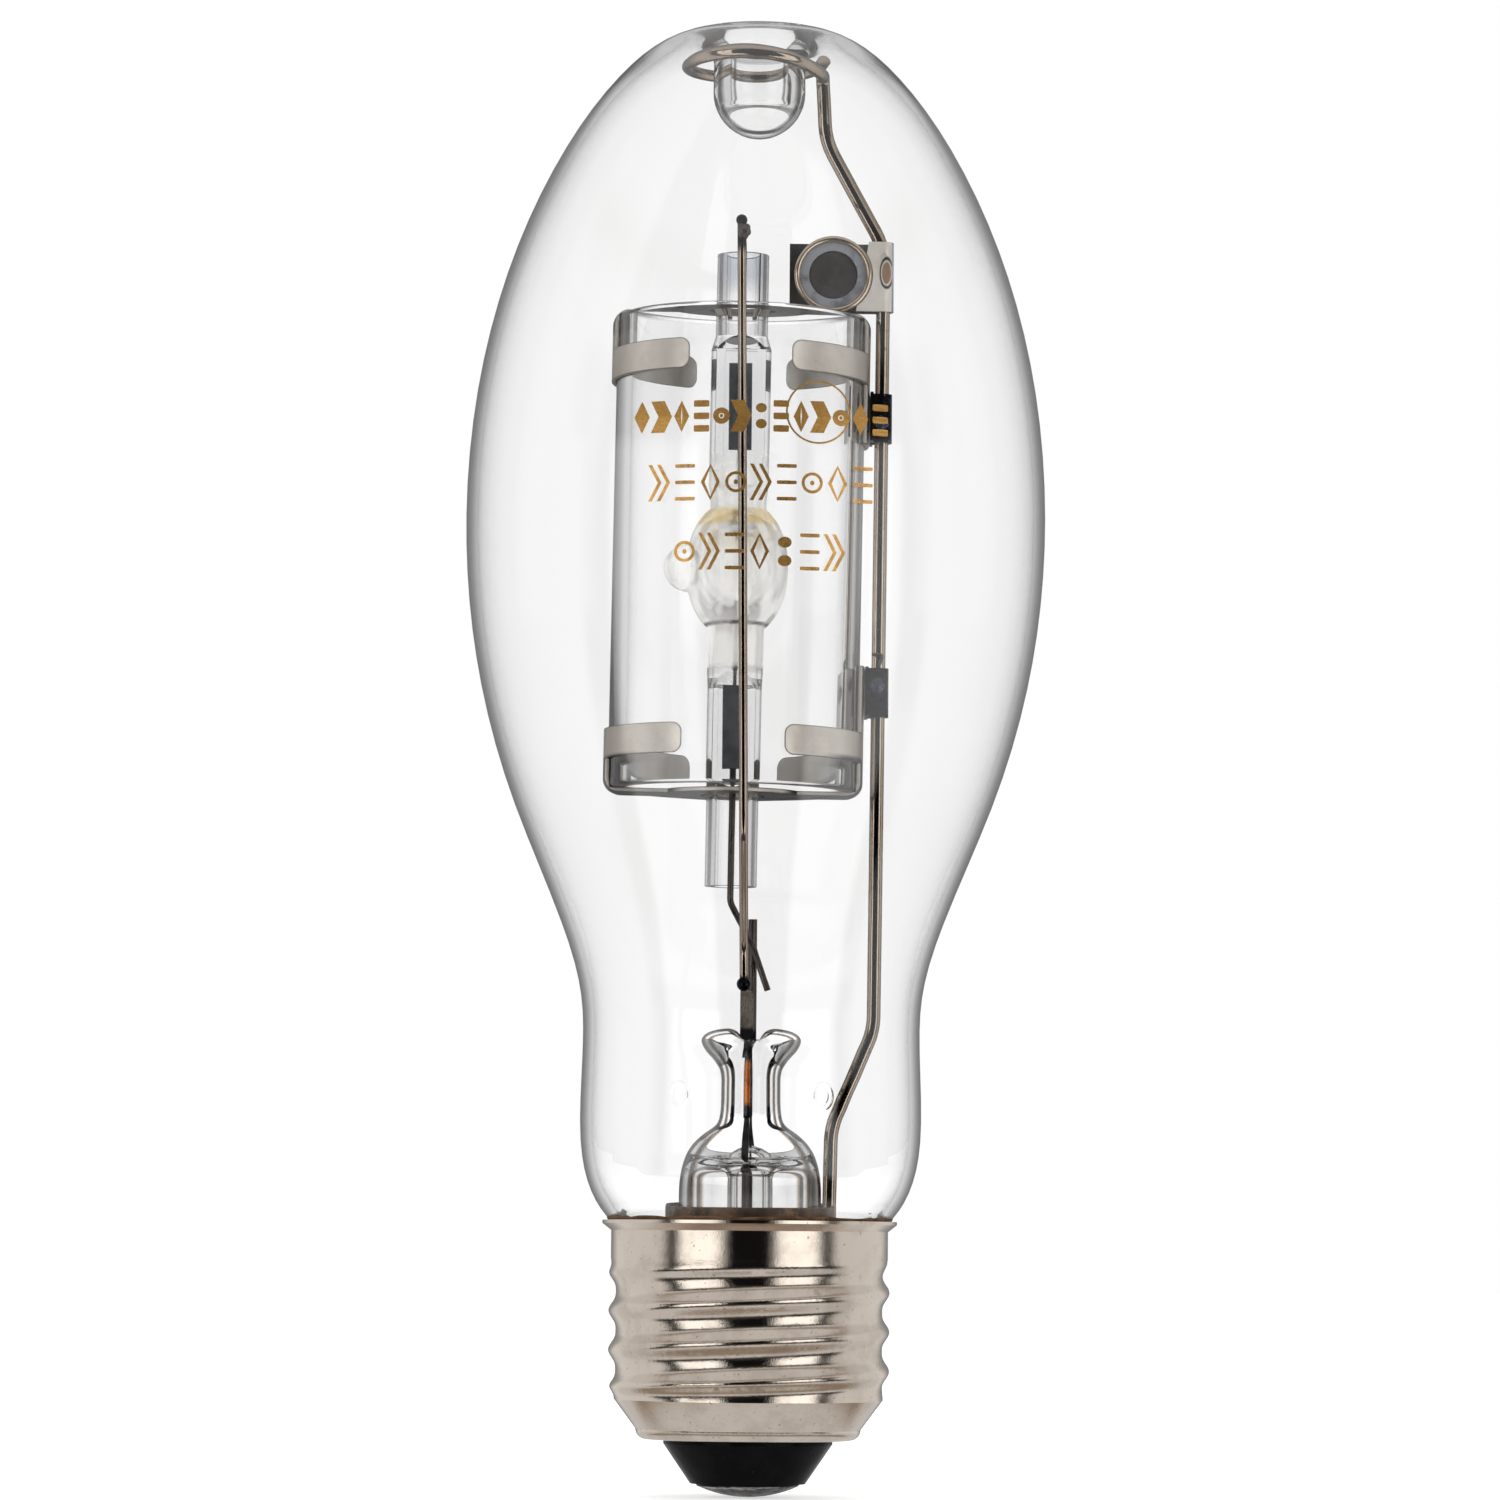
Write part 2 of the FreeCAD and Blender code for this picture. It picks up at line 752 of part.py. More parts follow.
def exhaust_tube():
    """Glass tube under the press, drawn to a closed tip at its lower end."""
    top = stem_roof_height + exhaust_seat_depth
    shoulder = exhaust_bottom + exhaust_tip_length
    wall = exhaust_outer_radius - exhaust_bore_radius
    edges = [
        line(vec(exhaust_bore_radius, 0, top), vec(exhaust_outer_radius, 0, top)),
        line(vec(exhaust_outer_radius, 0, top), vec(exhaust_outer_radius, 0, shoulder)),
        bridge(vec(exhaust_outer_radius, 0, shoulder), -Z_AXIS, vec(0, 0, exhaust_bottom), vec(-1, 0, 0)),
        line(vec(0, 0, exhaust_bottom), vec(0, 0, exhaust_bottom + wall)),
        bridge(vec(0, 0, exhaust_bottom + wall), vec(1, 0, 0), vec(exhaust_bore_radius, 0, shoulder), Z_AXIS),
        line(vec(exhaust_bore_radius, 0, shoulder), vec(exhaust_bore_radius, 0, top)),
    ]
    return spin(edges)


def stem_band():
    """Pressed band around the stem's foot, with a floor that the frame wire stands on."""
    floor_hole = stem_radius + seating_gap
    band = tube(band_radius, floor_hole, band_bottom, band_bottom + band_sheet)
    top = band_bottom + band_height
    wall = tube(band_radius, band_radius - band_sheet, band_bottom, top)
    slot = cylinder(frame_wire_radius + seating_gap, band_bottom + band_sheet, top, frame_foot_x)
    return band.fuse(wall).removeSplitter().cut(slot)


def front_stem_lead():
    """Flat ribbon that stands in the press and takes the return lead."""
    return box(
        front_lead_x - ribbon_width / 2, front_lead_x + ribbon_width / 2,
        front_lead_y() - ribbon_thickness / 2, front_lead_y() + ribbon_thickness / 2,
        seal_wire_top, ribbon_top,
    )


def rear_stem_lead():
    return cylinder(rear_lead_radius, seal_wire_top, rear_lead_top, rear_lead_x, rear_lead_y())


def seal_wires():
    """Copper-coated lengths that make the seal through the pressed glass."""
    return [
        cylinder(seal_wire_radius, seal_wire_bottom, seal_wire_top, x, y)
        for x, y in ((front_lead_x, front_lead_y()), (rear_lead_x, rear_lead_y()))
    ]


def front_tail_wire():
    """Lead from the front seal, under the exhaust tube, to the tube of the centre contact."""
    return bent_wire([
        vec(front_lead_x, front_lead_y(), seal_wire_bottom),
        vec(front_lead_x, front_lead_y(), exhaust_bottom - tail_wire_clearance),
        vec(0, 0, insulator_top() + tail_wire_radius),
        vec(0, 0, contact_height),
    ], arc_lead_bend_radius, tail_wire_radius)


def rear_tail_wire():
    """Lead from the rear seal out to the inside of the screw shell."""
    wall = thread_root_radius - shell_sheet - tail_side_gap
    height = seal_height - tail_side_drop
    return bent_wire([
        vec(rear_lead_x, rear_lead_y(), seal_wire_bottom),
        vec(rear_lead_x, rear_lead_y(), height),
        vec(rear_lead_x, wall, height),
    ], arc_lead_bend_radius, tail_wire_radius)


def frame_wire():
    """Wire bent up from the band, past the cage, and round the dimple in a rising ring."""
    points = [
        vec(frame_foot_x, 0, band_bottom + band_sheet + seating_gap),
        vec(frame_knee_x, 0, frame_knee_height),
        vec(frame_upright_bottom_x, 0, frame_upright_bottom),
        vec(frame_upright_top_x, 0, frame_upright_top),
        vec(frame_shoulder_x, 0, bulb_top - frame_shoulder_drop),
    ]
    corner_count = round(ring_sweep_angle / ring_corner_angle)
    corner_radius = ring_radius / math.cos(math.radians(ring_corner_angle / 2))
    ring_height = bulb_top - ring_drop
    points.append(vec(ring_center_x + ring_radius, 0, ring_height))
    for corner in range(corner_count):
        angle = -ring_corner_angle * (corner + 0.5)
        height = ring_height + ring_rise * smooth_step(-angle / ring_rise_angle)
        height += ring_end_rise * smooth_step((ring_rise_angle - angle - ring_sweep_angle) / ring_rise_angle)
        x = ring_center_x + corner_radius * math.cos(math.radians(angle))
        y = corner_radius * math.sin(math.radians(angle))
        points.append(vec(x, y, height))
    return bent_wire(points, ring_radius, frame_wire_radius)


def getter_bracket():
    """Sheet folded round the frame wire, its rear leaf long enough to carry the getter."""
    inner = frame_wire_radius + strap_wire_gap
    outer = inner + getter_sheet
    low, high = getter_plate_bottom, getter_plate_top
    middle = (low + high) / 2
    wire_x = frame_upright_x(middle)
    leaf = box(getter_plate_left, wire_x, inner, outer, low, high)
    fold = tube(outer, inner, low, high, wire_x)
    fold = fold.common(box(wire_x, wire_x + outer, -outer, outer, low, high))
    flap_left = wire_x - getter_flap_length + getter_flap_slant
    flap_face = Part.Face(Part.makePolygon([
        vec(wire_x, -outer, low),
        vec(wire_x, -outer, high),
        vec(flap_left, -outer, high),
        vec(flap_left - getter_flap_slant, -outer, low),
        vec(wire_x, -outer, low),
    ]))
    flap = flap_face.extrude(vec(0, getter_sheet, 0))
    folded = leaf.fuse([fold, flap]).removeSplitter()
    oval = Part.Ellipse(ORIGIN, getter_dimple_height / 2, getter_dimple_width / 2).toShape()
    dimple = Part.Face(Part.Wire(oval)).extrude(vec(0, 0, getter_dimple_depth))
    dimple.rotate(ORIGIN, Z_AXIS, 90)
    dimple = along_y(dimple, wire_x, getter_dimple_depth - outer, middle + getter_dimple_rise)
    cup_clearance = getter_cup_radius + seating_gap
    cup_room = along_y(
        cylinder(cup_clearance, 0, outer * 2), getter_cup_x, inner - seating_gap / 2, getter_cup_height
    )
    return folded.cut([dimple, cup_room])


def along_y(shape, x, y, z):
    """Turns a shape built up the Z axis so that it looks along -Y from the given point."""
    turned = shape.copy()
    turned.rotate(ORIGIN, vec(1, 0, 0), 90)
    turned.translate(vec(x, y, z))
    return turned


def getter_cup():
    """Pressed cup with a rolled rim and a ledge around the getter material."""
    inner = getter_cup_radius - getter_rim_width
    ledge_top = getter_cup_depth - getter_ledge_depth
    body = cylinder(getter_cup_radius - getter_rim_width / 2, 0, getter_cup_depth - getter_rim_width / 2)
    rim = Part.makeTorus(
        getter_cup_radius - getter_rim_width / 2, getter_rim_width / 2,
        vec(0, 0, getter_cup_depth - getter_rim_width / 2),
    )
    cup = body.fuse(rim).cut(cylinder(inner, ledge_top, getter_cup_depth + cut_margin))
    cup = cup.cut(cylinder(getter_ledge_radius, getter_cup_floor, getter_cup_depth))
    back = frame_wire_radius + strap_wire_gap
    return along_y(cup, getter_cup_x, back, getter_cup_height)


def getter_pill():
    """Disc of getter material in the cup."""
    top = getter_cup_depth - getter_ledge_depth - getter_pill_depth
    pill = cylinder(getter_ledge_radius - seating_gap, getter_cup_floor, top)
    back = frame_wire_radius + strap_wire_gap
    return along_y(pill, getter_cup_x, back, getter_cup_height)


def shroud():
    return in_cage(tube(shroud_radius, shroud_radius - shroud_wall, shroud_bottom, shroud_top))


def plate_face_radius():
    """Radius of the outside of an end plate's arms and tabs."""
    return shroud_radius + plate_glass_gap + plate_sheet


def end_plate(arm_drop):
    """Folded plate for one end of the shroud, built with the glass end at Z = 0, inward is -Z."""
    inside = shroud_radius + plate_glass_gap
    outside = plate_face_radius()
    corner = plate_corner_radius
    inner_corner = corner - plate_sheet
    turn = math.sqrt(0.5)
    top = plate_sheet
    depth = plate_tab_length
    outer_turn = vec(outside - corner * (1 - turn), 0, top - corner * (1 - turn))
    inner_turn = vec(inside - inner_corner * (1 - turn), 0, -inner_corner * (1 - turn))
    cap = spin([
        line(vec(plate_hole_radius, 0, 0), vec(plate_hole_radius, 0, top)),
        line(vec(plate_hole_radius, 0, top), vec(outside - corner, 0, top)),
        arc(vec(outside - corner, 0, top), outer_turn, vec(outside, 0, top - corner)),
        line(vec(outside, 0, top - corner), vec(outside, 0, -depth)),
        line(vec(outside, 0, -depth), vec(inside, 0, -depth)),
        line(vec(inside, 0, -depth), vec(inside, 0, -inner_corner)),
        arc(vec(inside, 0, -inner_corner), inner_turn, vec(inside - inner_corner, 0, 0)),
        line(vec(inside - inner_corner, 0, 0), vec(plate_hole_radius, 0, 0)),
    ])
    shroud_edge = cylinder(shroud_radius, -depth, 0)
    cap = cap.cut(shroud_edge)
    arm_bottom = -arm_drop - plate_arm_height
    half = plate_strap_width / 2
    strap = box(-outside, outside, -half, half, arm_bottom + plate_arm_round, top)
    tab = box(0, outside, -half, half, -depth, top)
    disc = cylinder(plate_disc_radius, 0, top)
    arms = box(-outside, outside, -outside, outside, arm_bottom, -arm_drop)
    gap = plate_arm_gap / 2
    for side in (-1, 1):
        low, high = sorted((side * gap, side * (outside + plate_arm_round + cut_margin)))
        arm = box(low, high, -outside, outside, arm_bottom, -arm_drop)
        corners = [
            edge for edge in arm.Edges
            if abs(edge.CenterOfMass.x - side * gap) < plate_glass_gap and edge.Length > outside
        ]
        arm = arm.makeFillet(plate_arm_round, corners)
        arms = arm if side < 0 else arms.fuse(arm)
    keep = strap.fuse([tab, disc, arms])
    plate = cap.common(keep)
    return plate.fuse([prong(index) for index in range(prong_count)]).removeSplitter()


def prong(index):
    """Small finger bent from the edge of the plate's hole down onto the arc tube."""
    half = prong_width / 2
    reach = plate_hole_radius + prong_root
    tip = arc_tube_radius + seating_gap
    slope = math.atan2(prong_drop, plate_hole_radius - tip)
    across = vec(math.sin(slope), 0, -math.cos(slope)) * prong_sheet
    bend = vec(plate_hole_radius, -half, plate_sheet)
    end = vec(tip, -half, plate_sheet - prong_drop)
    outline = Part.makePolygon([
        vec(reach, -half, plate_sheet),
        bend,
        end,
        end + across,
        bend + across,
        vec(reach, -half, 0),
        vec(reach, -half, plate_sheet),
    ])
    finger = Part.Face(outline).extrude(vec(0, prong_width, 0))
    finger.rotate(ORIGIN, Z_AXIS, 360 / prong_count * (index + 0.5))
    return finger


def upper_end_plate():
    plate = end_plate(upper_arm_drop)
    plate.translate(vec(0, 0, shroud_top))
    return in_cage(plate)


def lower_end_plate():
    plate = end_plate(lower_arm_drop).mirror(ORIGIN, Z_AXIS)
    plate.translate(vec(0, 0, shroud_bottom))
    return in_cage(plate)


def frame_strap(bottom):
    """Sheet strap round the frame wire, its flanges welded to the tab of an end plate."""
    middle = bottom + strap_height / 2
    wire_x = frame_upright_x(middle)
    face_points = [cage_point(plate_face_radius(), 0, bottom + share * strap_height) for share in (0, 1)]
    tab_x = max(point.x for point in face_points) + strap_wire_gap
    inner = frame_wire_radius + strap_wire_gap
    outer = inner + strap_sheet
    top = bottom + strap_height
    loop = tube(outer, inner, bottom, top, wire_x)
    loop = loop.common(box(wire_x, wire_x + outer, -outer, outer, bottom, top))
    pieces = []
    for side in (-1, 1):
        low, high = sorted((side * inner, side * outer))
        pieces.append(box(tab_x, wire_x, low, high, bottom, top))
        low, high = sorted((side * inner, side * (outer + strap_flange)))
        pieces.append(box(tab_x, tab_x + strap_sheet, low, high, bottom, top))
    return loop.fuse(pieces).removeSplitter()


def upper_frame_strap():
    return frame_strap(shroud_top - plate_tab_length + strap_tab_margin)


def lower_frame_strap():
    return frame_strap(shroud_bottom + plate_tab_length - strap_tab_margin - strap_height)


def strap_tail_wire():
    """Curl of fine wire that stands out of the lower strap, in front of the frame wire."""
    foot = shroud_bottom + plate_tab_length - strap_tab_margin + tail_curl_radius
    x = frame_upright_x(foot)
    y = -frame_wire_radius - tail_curl_radius - seating_gap
    right = x + tail_curl_width / 3
    return bent_wire([
        vec(x, y, foot),
        vec(right, y, foot + tail_curl_height * 2 / 3),
        vec(right, y, foot + tail_curl_height),
        vec(right - tail_curl_width, y, foot + tail_curl_height),
    ], tail_curl_radius * 2, tail_curl_radius)


def chamber_outline(radius, bottom, top, end_radius):
    """Outline of the chamber's skin between its two ends, as one bulging curve."""
    middle = (bottom + top) / 2
    bulge = end_radius + (radius - end_radius) * chamber_bulge_share
    rise = (middle - bottom) * chamber_bulge_place
    return [
        vec(end_radius, 0, bottom),
        vec(bulge, 0, bottom + rise),
        vec(radius, 0, middle),
        vec(bulge, 0, top - rise),
        vec(end_radius, 0, top),
    ]


def pinch(width, bottom, top, bottom_radius, top_radius):
    """Tube pinched flat between two round ends, with a shallow trough down each face."""
    half = width / 2
    thick = pinch_thickness / 2
    low = bottom + pinch_ramp
    high = top - pinch_ramp
    barrel = spin(polyline([
        vec(0, 0, bottom),
        vec(bottom_radius, 0, bottom),
        vec(half, 0, low),
        vec(half, 0, high),
        vec(top_radius, 0, top),
        vec(0, 0, top),
        vec(0, 0, bottom),
    ]))
    side = [(bottom_radius, bottom), (thick, low), (thick, high), (top_radius, top)]
    outline = [vec(-width, y, z) for y, z in side]
    outline += [vec(-width, -y, z) for y, z in reversed(side)]
    outline.append(outline[0])
    slab = Part.Face(Part.makePolygon(outline)).extrude(vec(2 * width, 0, 0))
    seal = barrel.common(slab)
    trough = pinch_trough_width / 2
    deep = thick - pinch_trough_depth
    for near, far in ((-thick - cut_margin, -deep), (deep, thick + cut_margin)):
        seal = seal.cut(box(-trough, trough, near, far, low, high))
    return seal


def arc_tube():
    """Quartz arc tube in one piece, hollow at the chamber and at both open ends."""
    outer = chamber_outline(chamber_radius, chamber_bottom, chamber_top, neck_radius)
    inner = chamber_outline(
        chamber_radius - chamber_wall,
        chamber_bottom + chamber_end_wall,
        chamber_top - chamber_end_wall,
        electrode_radius * 2,
    )
    skin = spline(outer).toShape()
    chamber = spin([skin] + polyline([
        outer[-1], vec(0, 0, chamber_top), vec(0, 0, chamber_bottom), outer[0],
    ]))
    hollow_skin = spline(inner).toShape()
    hollow = spin([hollow_skin] + polyline([
        inner[-1], vec(0, 0, inner[-1].z), vec(0, 0, inner[0].z), inner[0],
    ]))
    pieces = [
        cylinder(neck_radius, lower_pinch_top, chamber_bottom),
        cylinder(neck_radius, chamber_top, upper_pinch_bottom),
        pinch(upper_pinch_width, upper_pinch_bottom, upper_pinch_top, neck_radius, arc_tube_radius),
        pinch(lower_pinch_width, lower_pinch_bottom, lower_pinch_top, arc_tube_radius, neck_radius),
        exhaust_tip(),
        cylinder(arc_tube_radius, upper_pinch_top, arc_tube_top),
        cylinder(arc_tube_radius, arc_tube_bottom, lower_pinch_bottom),
    ]
    body = chamber.fuse(pieces).removeSplitter()
    body = body.cut([
        hollow,
        cylinder(arc_tube_bore, upper_pinch_top, arc_tube_top + cut_margin),
        cylinder(arc_tube_bore, arc_tube_bottom - cut_margin, lower_pinch_bottom),
    ])
    body = body.cut(sealed_metal())
    return in_cage(body)


def exhaust_tip():
    """Nub on the side of the chamber where its filling tube was melted off."""
    root = chamber_radius - tip_root
    end = chamber_radius + tip_length
    base = vec(tip_base_radius, 0, 0)
    tip = vec(0, 0, end - root)
    nub = spin([bridge(base, Z_AXIS, tip, vec(-1, 0, 0))] + polyline([tip, ORIGIN, base]))
    nub.rotate(ORIGIN, vec(0, 1, 0), -90)
    nub.translate(vec(-root, 0, chamber_middle))
    return nub


def foil(bottom, top):
    half = foil_width / 2
    thick = foil_thickness / 2
    return box(-half, half, -thick, thick, bottom, top)


def electrode(foil_end, direction):
    """Tungsten rod with a coil behind its tip, pointing from a foil into the chamber."""
    tip = chamber_middle - direction * arc_gap / 2
    coil_end = tip - direction * electrode_coil_set_back
    coil_start = coil_end - direction * electrode_coil_length
    rod = cylinder(electrode_radius, min(foil_end, tip), max(foil_end, tip))
    coil = cylinder(electrode_coil_radius, min(coil_start, coil_end), max(coil_start, coil_end))
    return rod.fuse(coil).removeSplitter()


def arc_lead_stub(low, high):
    return cylinder(arc_lead_radius, low, high)


def sealed_metal():
    """Metal that the pinched ends close on, in the cage's own frame."""
    return [
        foil(upper_foil_bottom, upper_foil_top),
        foil(lower_foil_bottom, lower_foil_top),
        electrode(upper_foil_bottom, -1),
        electrode(lower_foil_top, 1),
        arc_lead_stub(upper_foil_top, upper_pinch_top),
        arc_lead_stub(lower_pinch_bottom, lower_foil_bottom),
    ]


def upper_arc_lead():
    """Lead from the upper foil up through the open tube and forward to the return lead."""
    turn = upper_arc_lead_height
    lead = bent_wire([
        cage_point(0, 0, upper_foil_top),
        cage_point(0, 0, turn),
        vec(return_lead_x(turn), return_lead_y, turn),
    ], arc_lead_bend_radius, arc_lead_radius)
    return lead.cut(return_lead())


def lower_arc_lead():
    """Lead from the lower foil down to the rear stem lead, welded where the two cross."""
    front_of_stem_lead = rear_lead_y() - rear_lead_radius - arc_lead_radius
    return bent_wire([
        cage_point(0, 0, lower_foil_bottom),
        cage_point(0, 0, arc_tube_bottom - lower_lead_straight),
        vec(rear_lead_x, front_of_stem_lead, lower_lead_crossing_height),
        vec(lower_lead_end_x, front_of_stem_lead, lower_lead_crossing_height - lower_lead_end_drop),
    ], arc_lead_bend_radius, arc_lead_radius)


def return_lead():
    """Rod in front of the shroud, bent back to the front stem lead, with a bead at each end."""
    foot_y = front_lead_y() - ribbon_thickness / 2 - return_lead_radius
    knee = return_lead_foot_height + return_lead_foot_length
    bend = shroud_bottom - return_lead_bend_drop
    rod = bent_wire([
        vec(return_lead_x(return_lead_top), return_lead_y, return_lead_top),
        vec(return_lead_x(bend), return_lead_y, bend),
        vec(return_lead_x(knee), foot_y, knee),
        vec(return_lead_x(return_lead_foot_height), foot_y, return_lead_foot_height),
    ], return_lead_bend_radius, return_lead_radius)
    top = vec(return_lead_top_x, return_lead_y, return_lead_top)
    foot = vec(return_lead_foot_x, foot_y, return_lead_foot_height)
    beads = [Part.makeSphere(top_bead_radius, top), Part.makeSphere(weld_bead_radius, foot)]
    return rod.fuse(beads).cut(front_stem_lead())


def save(name, shape):
    shape.exportStep("parts/" + name + ".step")


def main():
    os.makedirs("parts", exist_ok=True)
    front_seal, rear_seal = seal_wires()
    save("outer_bulb", envelope())
    save("screw_shell", screw_shell())
    save("basing_cement", basing_cement())
    save("base_insulator", base_insulator())
    save("centre_contact", centre_contact())
    save("stem_glass", stem())
    save("exhaust_tube", exhaust_tube())
    save("stem_band", stem_band())
    save("front_stem_lead", front_stem_lead())
    save("rear_stem_lead", rear_stem_lead())
    save("front_seal_wire", front_seal)
    save("rear_seal_wire", rear_seal)
    save("front_tail_wire", front_tail_wire())
    save("rear_tail_wire", rear_tail_wire())
    save("frame_wire", frame_wire())
    save("getter_bracket", getter_bracket())
    save("getter_cup", getter_cup())
    save("getter_pill", getter_pill())
    save("shroud_tube", shroud())
    save("upper_end_plate", upper_end_plate())
    save("lower_end_plate", lower_end_plate())
    save("upper_frame_strap", upper_frame_strap())
    save("lower_frame_strap", lower_frame_strap())
    save("strap_tail_wire", strap_tail_wire())
    save("arc_tube", arc_tube())
    save("upper_foil", in_cage(foil(upper_foil_bottom, upper_foil_top)))
    save("lower_foil", in_cage(foil(lower_foil_bottom, lower_foil_top)))
    save("upper_electrode", in_cage(electrode(upper_foil_bottom, -1)))
    save("lower_electrode", in_cage(electrode(lower_foil_top, 1)))
    save("upper_arc_lead", upper_arc_lead())
    save("lower_arc_lead", lower_arc_lead())
    save("return_lead", return_lead())


main()
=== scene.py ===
"""Metal halide lamp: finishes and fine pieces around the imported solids, in metres, +Z up."""

import math

import bmesh
import bpy
from mathutils import Matrix, Vector, noise


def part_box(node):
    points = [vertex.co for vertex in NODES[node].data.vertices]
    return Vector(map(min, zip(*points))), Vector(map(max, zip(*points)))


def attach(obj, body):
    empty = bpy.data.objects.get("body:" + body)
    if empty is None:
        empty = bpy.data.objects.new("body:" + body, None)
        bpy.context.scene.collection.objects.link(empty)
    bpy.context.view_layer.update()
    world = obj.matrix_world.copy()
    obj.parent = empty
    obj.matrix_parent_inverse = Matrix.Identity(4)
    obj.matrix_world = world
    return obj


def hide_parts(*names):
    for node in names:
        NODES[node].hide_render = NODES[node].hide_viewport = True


bl_info = {
    "name": "Metal halide lamp",
    "version": (1, 0, 0),
    "blender": (4, 5, 0),
    "location": "View3D > Sidebar > Lamp",
    "description": "Dresses a metal halide lamp with its glass, metal and printed marks",
    "category": "Object",
}

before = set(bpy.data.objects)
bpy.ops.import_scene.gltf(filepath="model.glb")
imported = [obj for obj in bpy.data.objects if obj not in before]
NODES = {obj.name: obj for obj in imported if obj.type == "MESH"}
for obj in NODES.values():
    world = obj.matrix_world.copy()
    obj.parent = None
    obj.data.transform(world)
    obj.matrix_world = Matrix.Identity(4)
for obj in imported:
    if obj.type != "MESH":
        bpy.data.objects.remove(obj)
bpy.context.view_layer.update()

MM = 0.001

RIM_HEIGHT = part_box("screw_shell")[1].z

# Slant, 0 face on and 1 edge on, between which a metal takes its edge colour, a painted shade, or its core
# colour, a painted dark reflection
TURNED_AWAY = (0.3, 0.72)
FACE_ON = (0.075, 0.05)
# How far a rounded sheet edge turns from its face, as a cosine, where its painted dark line of shade lies
SHEET_LINE = (0.94, 0.84)
# Near-black of scorched metal, also used for painted shade on the plates' folds and on the contact around its
# painted highlight
SCORCH_AND_SHADE = (0.012, 0.012, 0.016)

# Brightness of the walls that shiny parts reflect, from the camera's side, 0, round to the far side, 1
WALLS = [
    (0.0, 0.004), (0.034, 0.004), (0.044, 0.95), (0.24, 0.95), (0.26, 0.01), (0.34, 0.01),
    (0.37, 0.45), (0.9, 0.5), (0.965, 0.22), (1.0, 0.16),
]
# Soft lights, in metres and watts: name, place, width, height and power
SOFTBOXES = (
    ("left_box", (-0.8, -0.65, 0.3), 0.5, 1.1, 2.2),
    ("right_box", (0.8, -0.6, 0.25), 0.4, 1.1, 1.6),
    ("top_box", (0.0, 0.3, 1.1), 0.9, 0.7, 2.0),
)

# The next values are in millimetres. Pairs say where something starts and where it is full or ends.
# Dimple in the bulb's crown: reach from the axis, and height
DIMPLE_SIDE = (6.4, 5.6)
DIMPLE_FOOT = (121.0, 122.0)
# Ovals pressed into the neck: place across and height, then how much they are drawn out upwards
OVAL_MIDDLE = (6.4, 36.8)
OVAL_SQUASH = 0.7
# Heights on the arc tube: stain on the quartz and on its coat, painted grey-blue shade on the open end, coat,
# a dark ring and frosted necks
STAINED_QUARTZ = (90.0, 91.7)
STAINED_COAT = (90.3, 91.8)
SHADED_OPEN_END = (111.5, 114.5)
COAT_ENDS = (77.4, 97.0)
COAT_RAMP = (77.0, 97.0)
DARK_RING_LINE = (81.2, 81.5)
UPPER_NECK = (91.9, 96.9)
LOWER_NECK = (77.2, 82.4)
# Heights of painted shade on the plates' folds, and of scorched metal on the return lead and the seals
UPPER_FOLDS = (107.9, 108.4)
LOWER_FOLDS = (68.8, 68.3)
ROD_FOOT = (48.4, 47.9)
ROD_HEAD = (113.9, 115.0)
BURNT_ABOVE_SEAL = (40.2, 43.3)
BURNT_BELOW_SEAL = (30.6, 36.2)

# Rows of gold marks: left and right end, then foot and head
TOP_ROW = ((-11.2, 12.0), (95.8, 98.7))
MIDDLE_ROW = ((-9.8, 10.7), (89.6, 92.9))
LOW_ROW = ((-7.5, 8.2), (83.4, 86.7))
# Large ring of the gold marks: place across, height and radius
HALO = (5.5, 97.7, 2.9)

# Outside of the stem: height, half width, half depth, squareness and depth of its cleft
STEM_SKIN = [
    (17.5, 9.2, 9.2, 2.0, 0.0), (18.5, 9.15, 9.15, 2.0, 0.0), (20.0, 8.0, 8.0, 2.0, 0.0),
    (22.0, 6.95, 6.95, 2.0, 0.0), (24.0, 6.64, 6.64, 2.0, 0.0), (28.6, 6.6, 6.6, 2.0, 0.0),
    (30.8, 6.25, 6.3, 2.05, 0.0), (32.4, 5.5, 6.0, 2.15, 0.01), (33.6, 4.3, 5.7, 2.4, 0.03),
    (34.4, 3.2, 5.5, 2.8, 0.06), (35.3, 2.85, 5.4, 3.1, 0.08), (37.5, 2.75, 5.4, 3.2, 0.08),
    (39.4, 2.85, 5.4, 3.1, 0.09), (40.4, 3.45, 5.5, 2.8, 0.12), (41.2, 4.2, 5.6, 2.6, 0.16),
    (41.8, 4.55, 5.7, 2.5, 0.2), (42.2, 4.65, 5.6, 2.5, 0.22),
]
# Inside of the stem's bell, then the outside and the bore of the exhaust tube: height and radius
BELL_WALL = [(17.5, 8.7), (18.6, 8.1), (20.2, 6.9), (22.0, 5.95), (24.0, 5.62), (29.3, 5.6)]
EXHAUST_SKIN = [
    (29.3, 2.1), (26.0, 2.1), (22.0, 2.1), (16.0, 2.1),
    (13.0, 2.1), (11.6, 1.8), (10.8, 1.1), (10.55, 0.5),
]
EXHAUST_BORE = [
    (12.1, 0.5), (12.5, 1.2), (13.2, 1.46), (20.0, 1.46),
    (30.6, 1.46), (31.3, 1.3), (31.8, 0.8), (31.95, 0.3),
]
# Arched roof of the bell: height of its feet, middle radius, half width and rise
BELL_ROOF = (29.3, 3.85, 1.75, 1.9)
ROOF_STEPS = 12


# Node helpers


def add(tree, kind, inputs=None, **settings):
    """Adds one node with its settings, and sets or joins its inputs."""
    item = tree.nodes.new("ShaderNode" + kind)
    for key, value in settings.items():
        setattr(item, key, value)
    return feed(item, inputs or {})


def feed(item, inputs):
    """Joins a node's inputs to sockets, or sets their values."""
    for key, value in inputs.items():
        if isinstance(value, bpy.types.NodeSocket):
            item.id_data.links.new(value, item.inputs[key])
        else:
            item.inputs[key].default_value = value
    return item


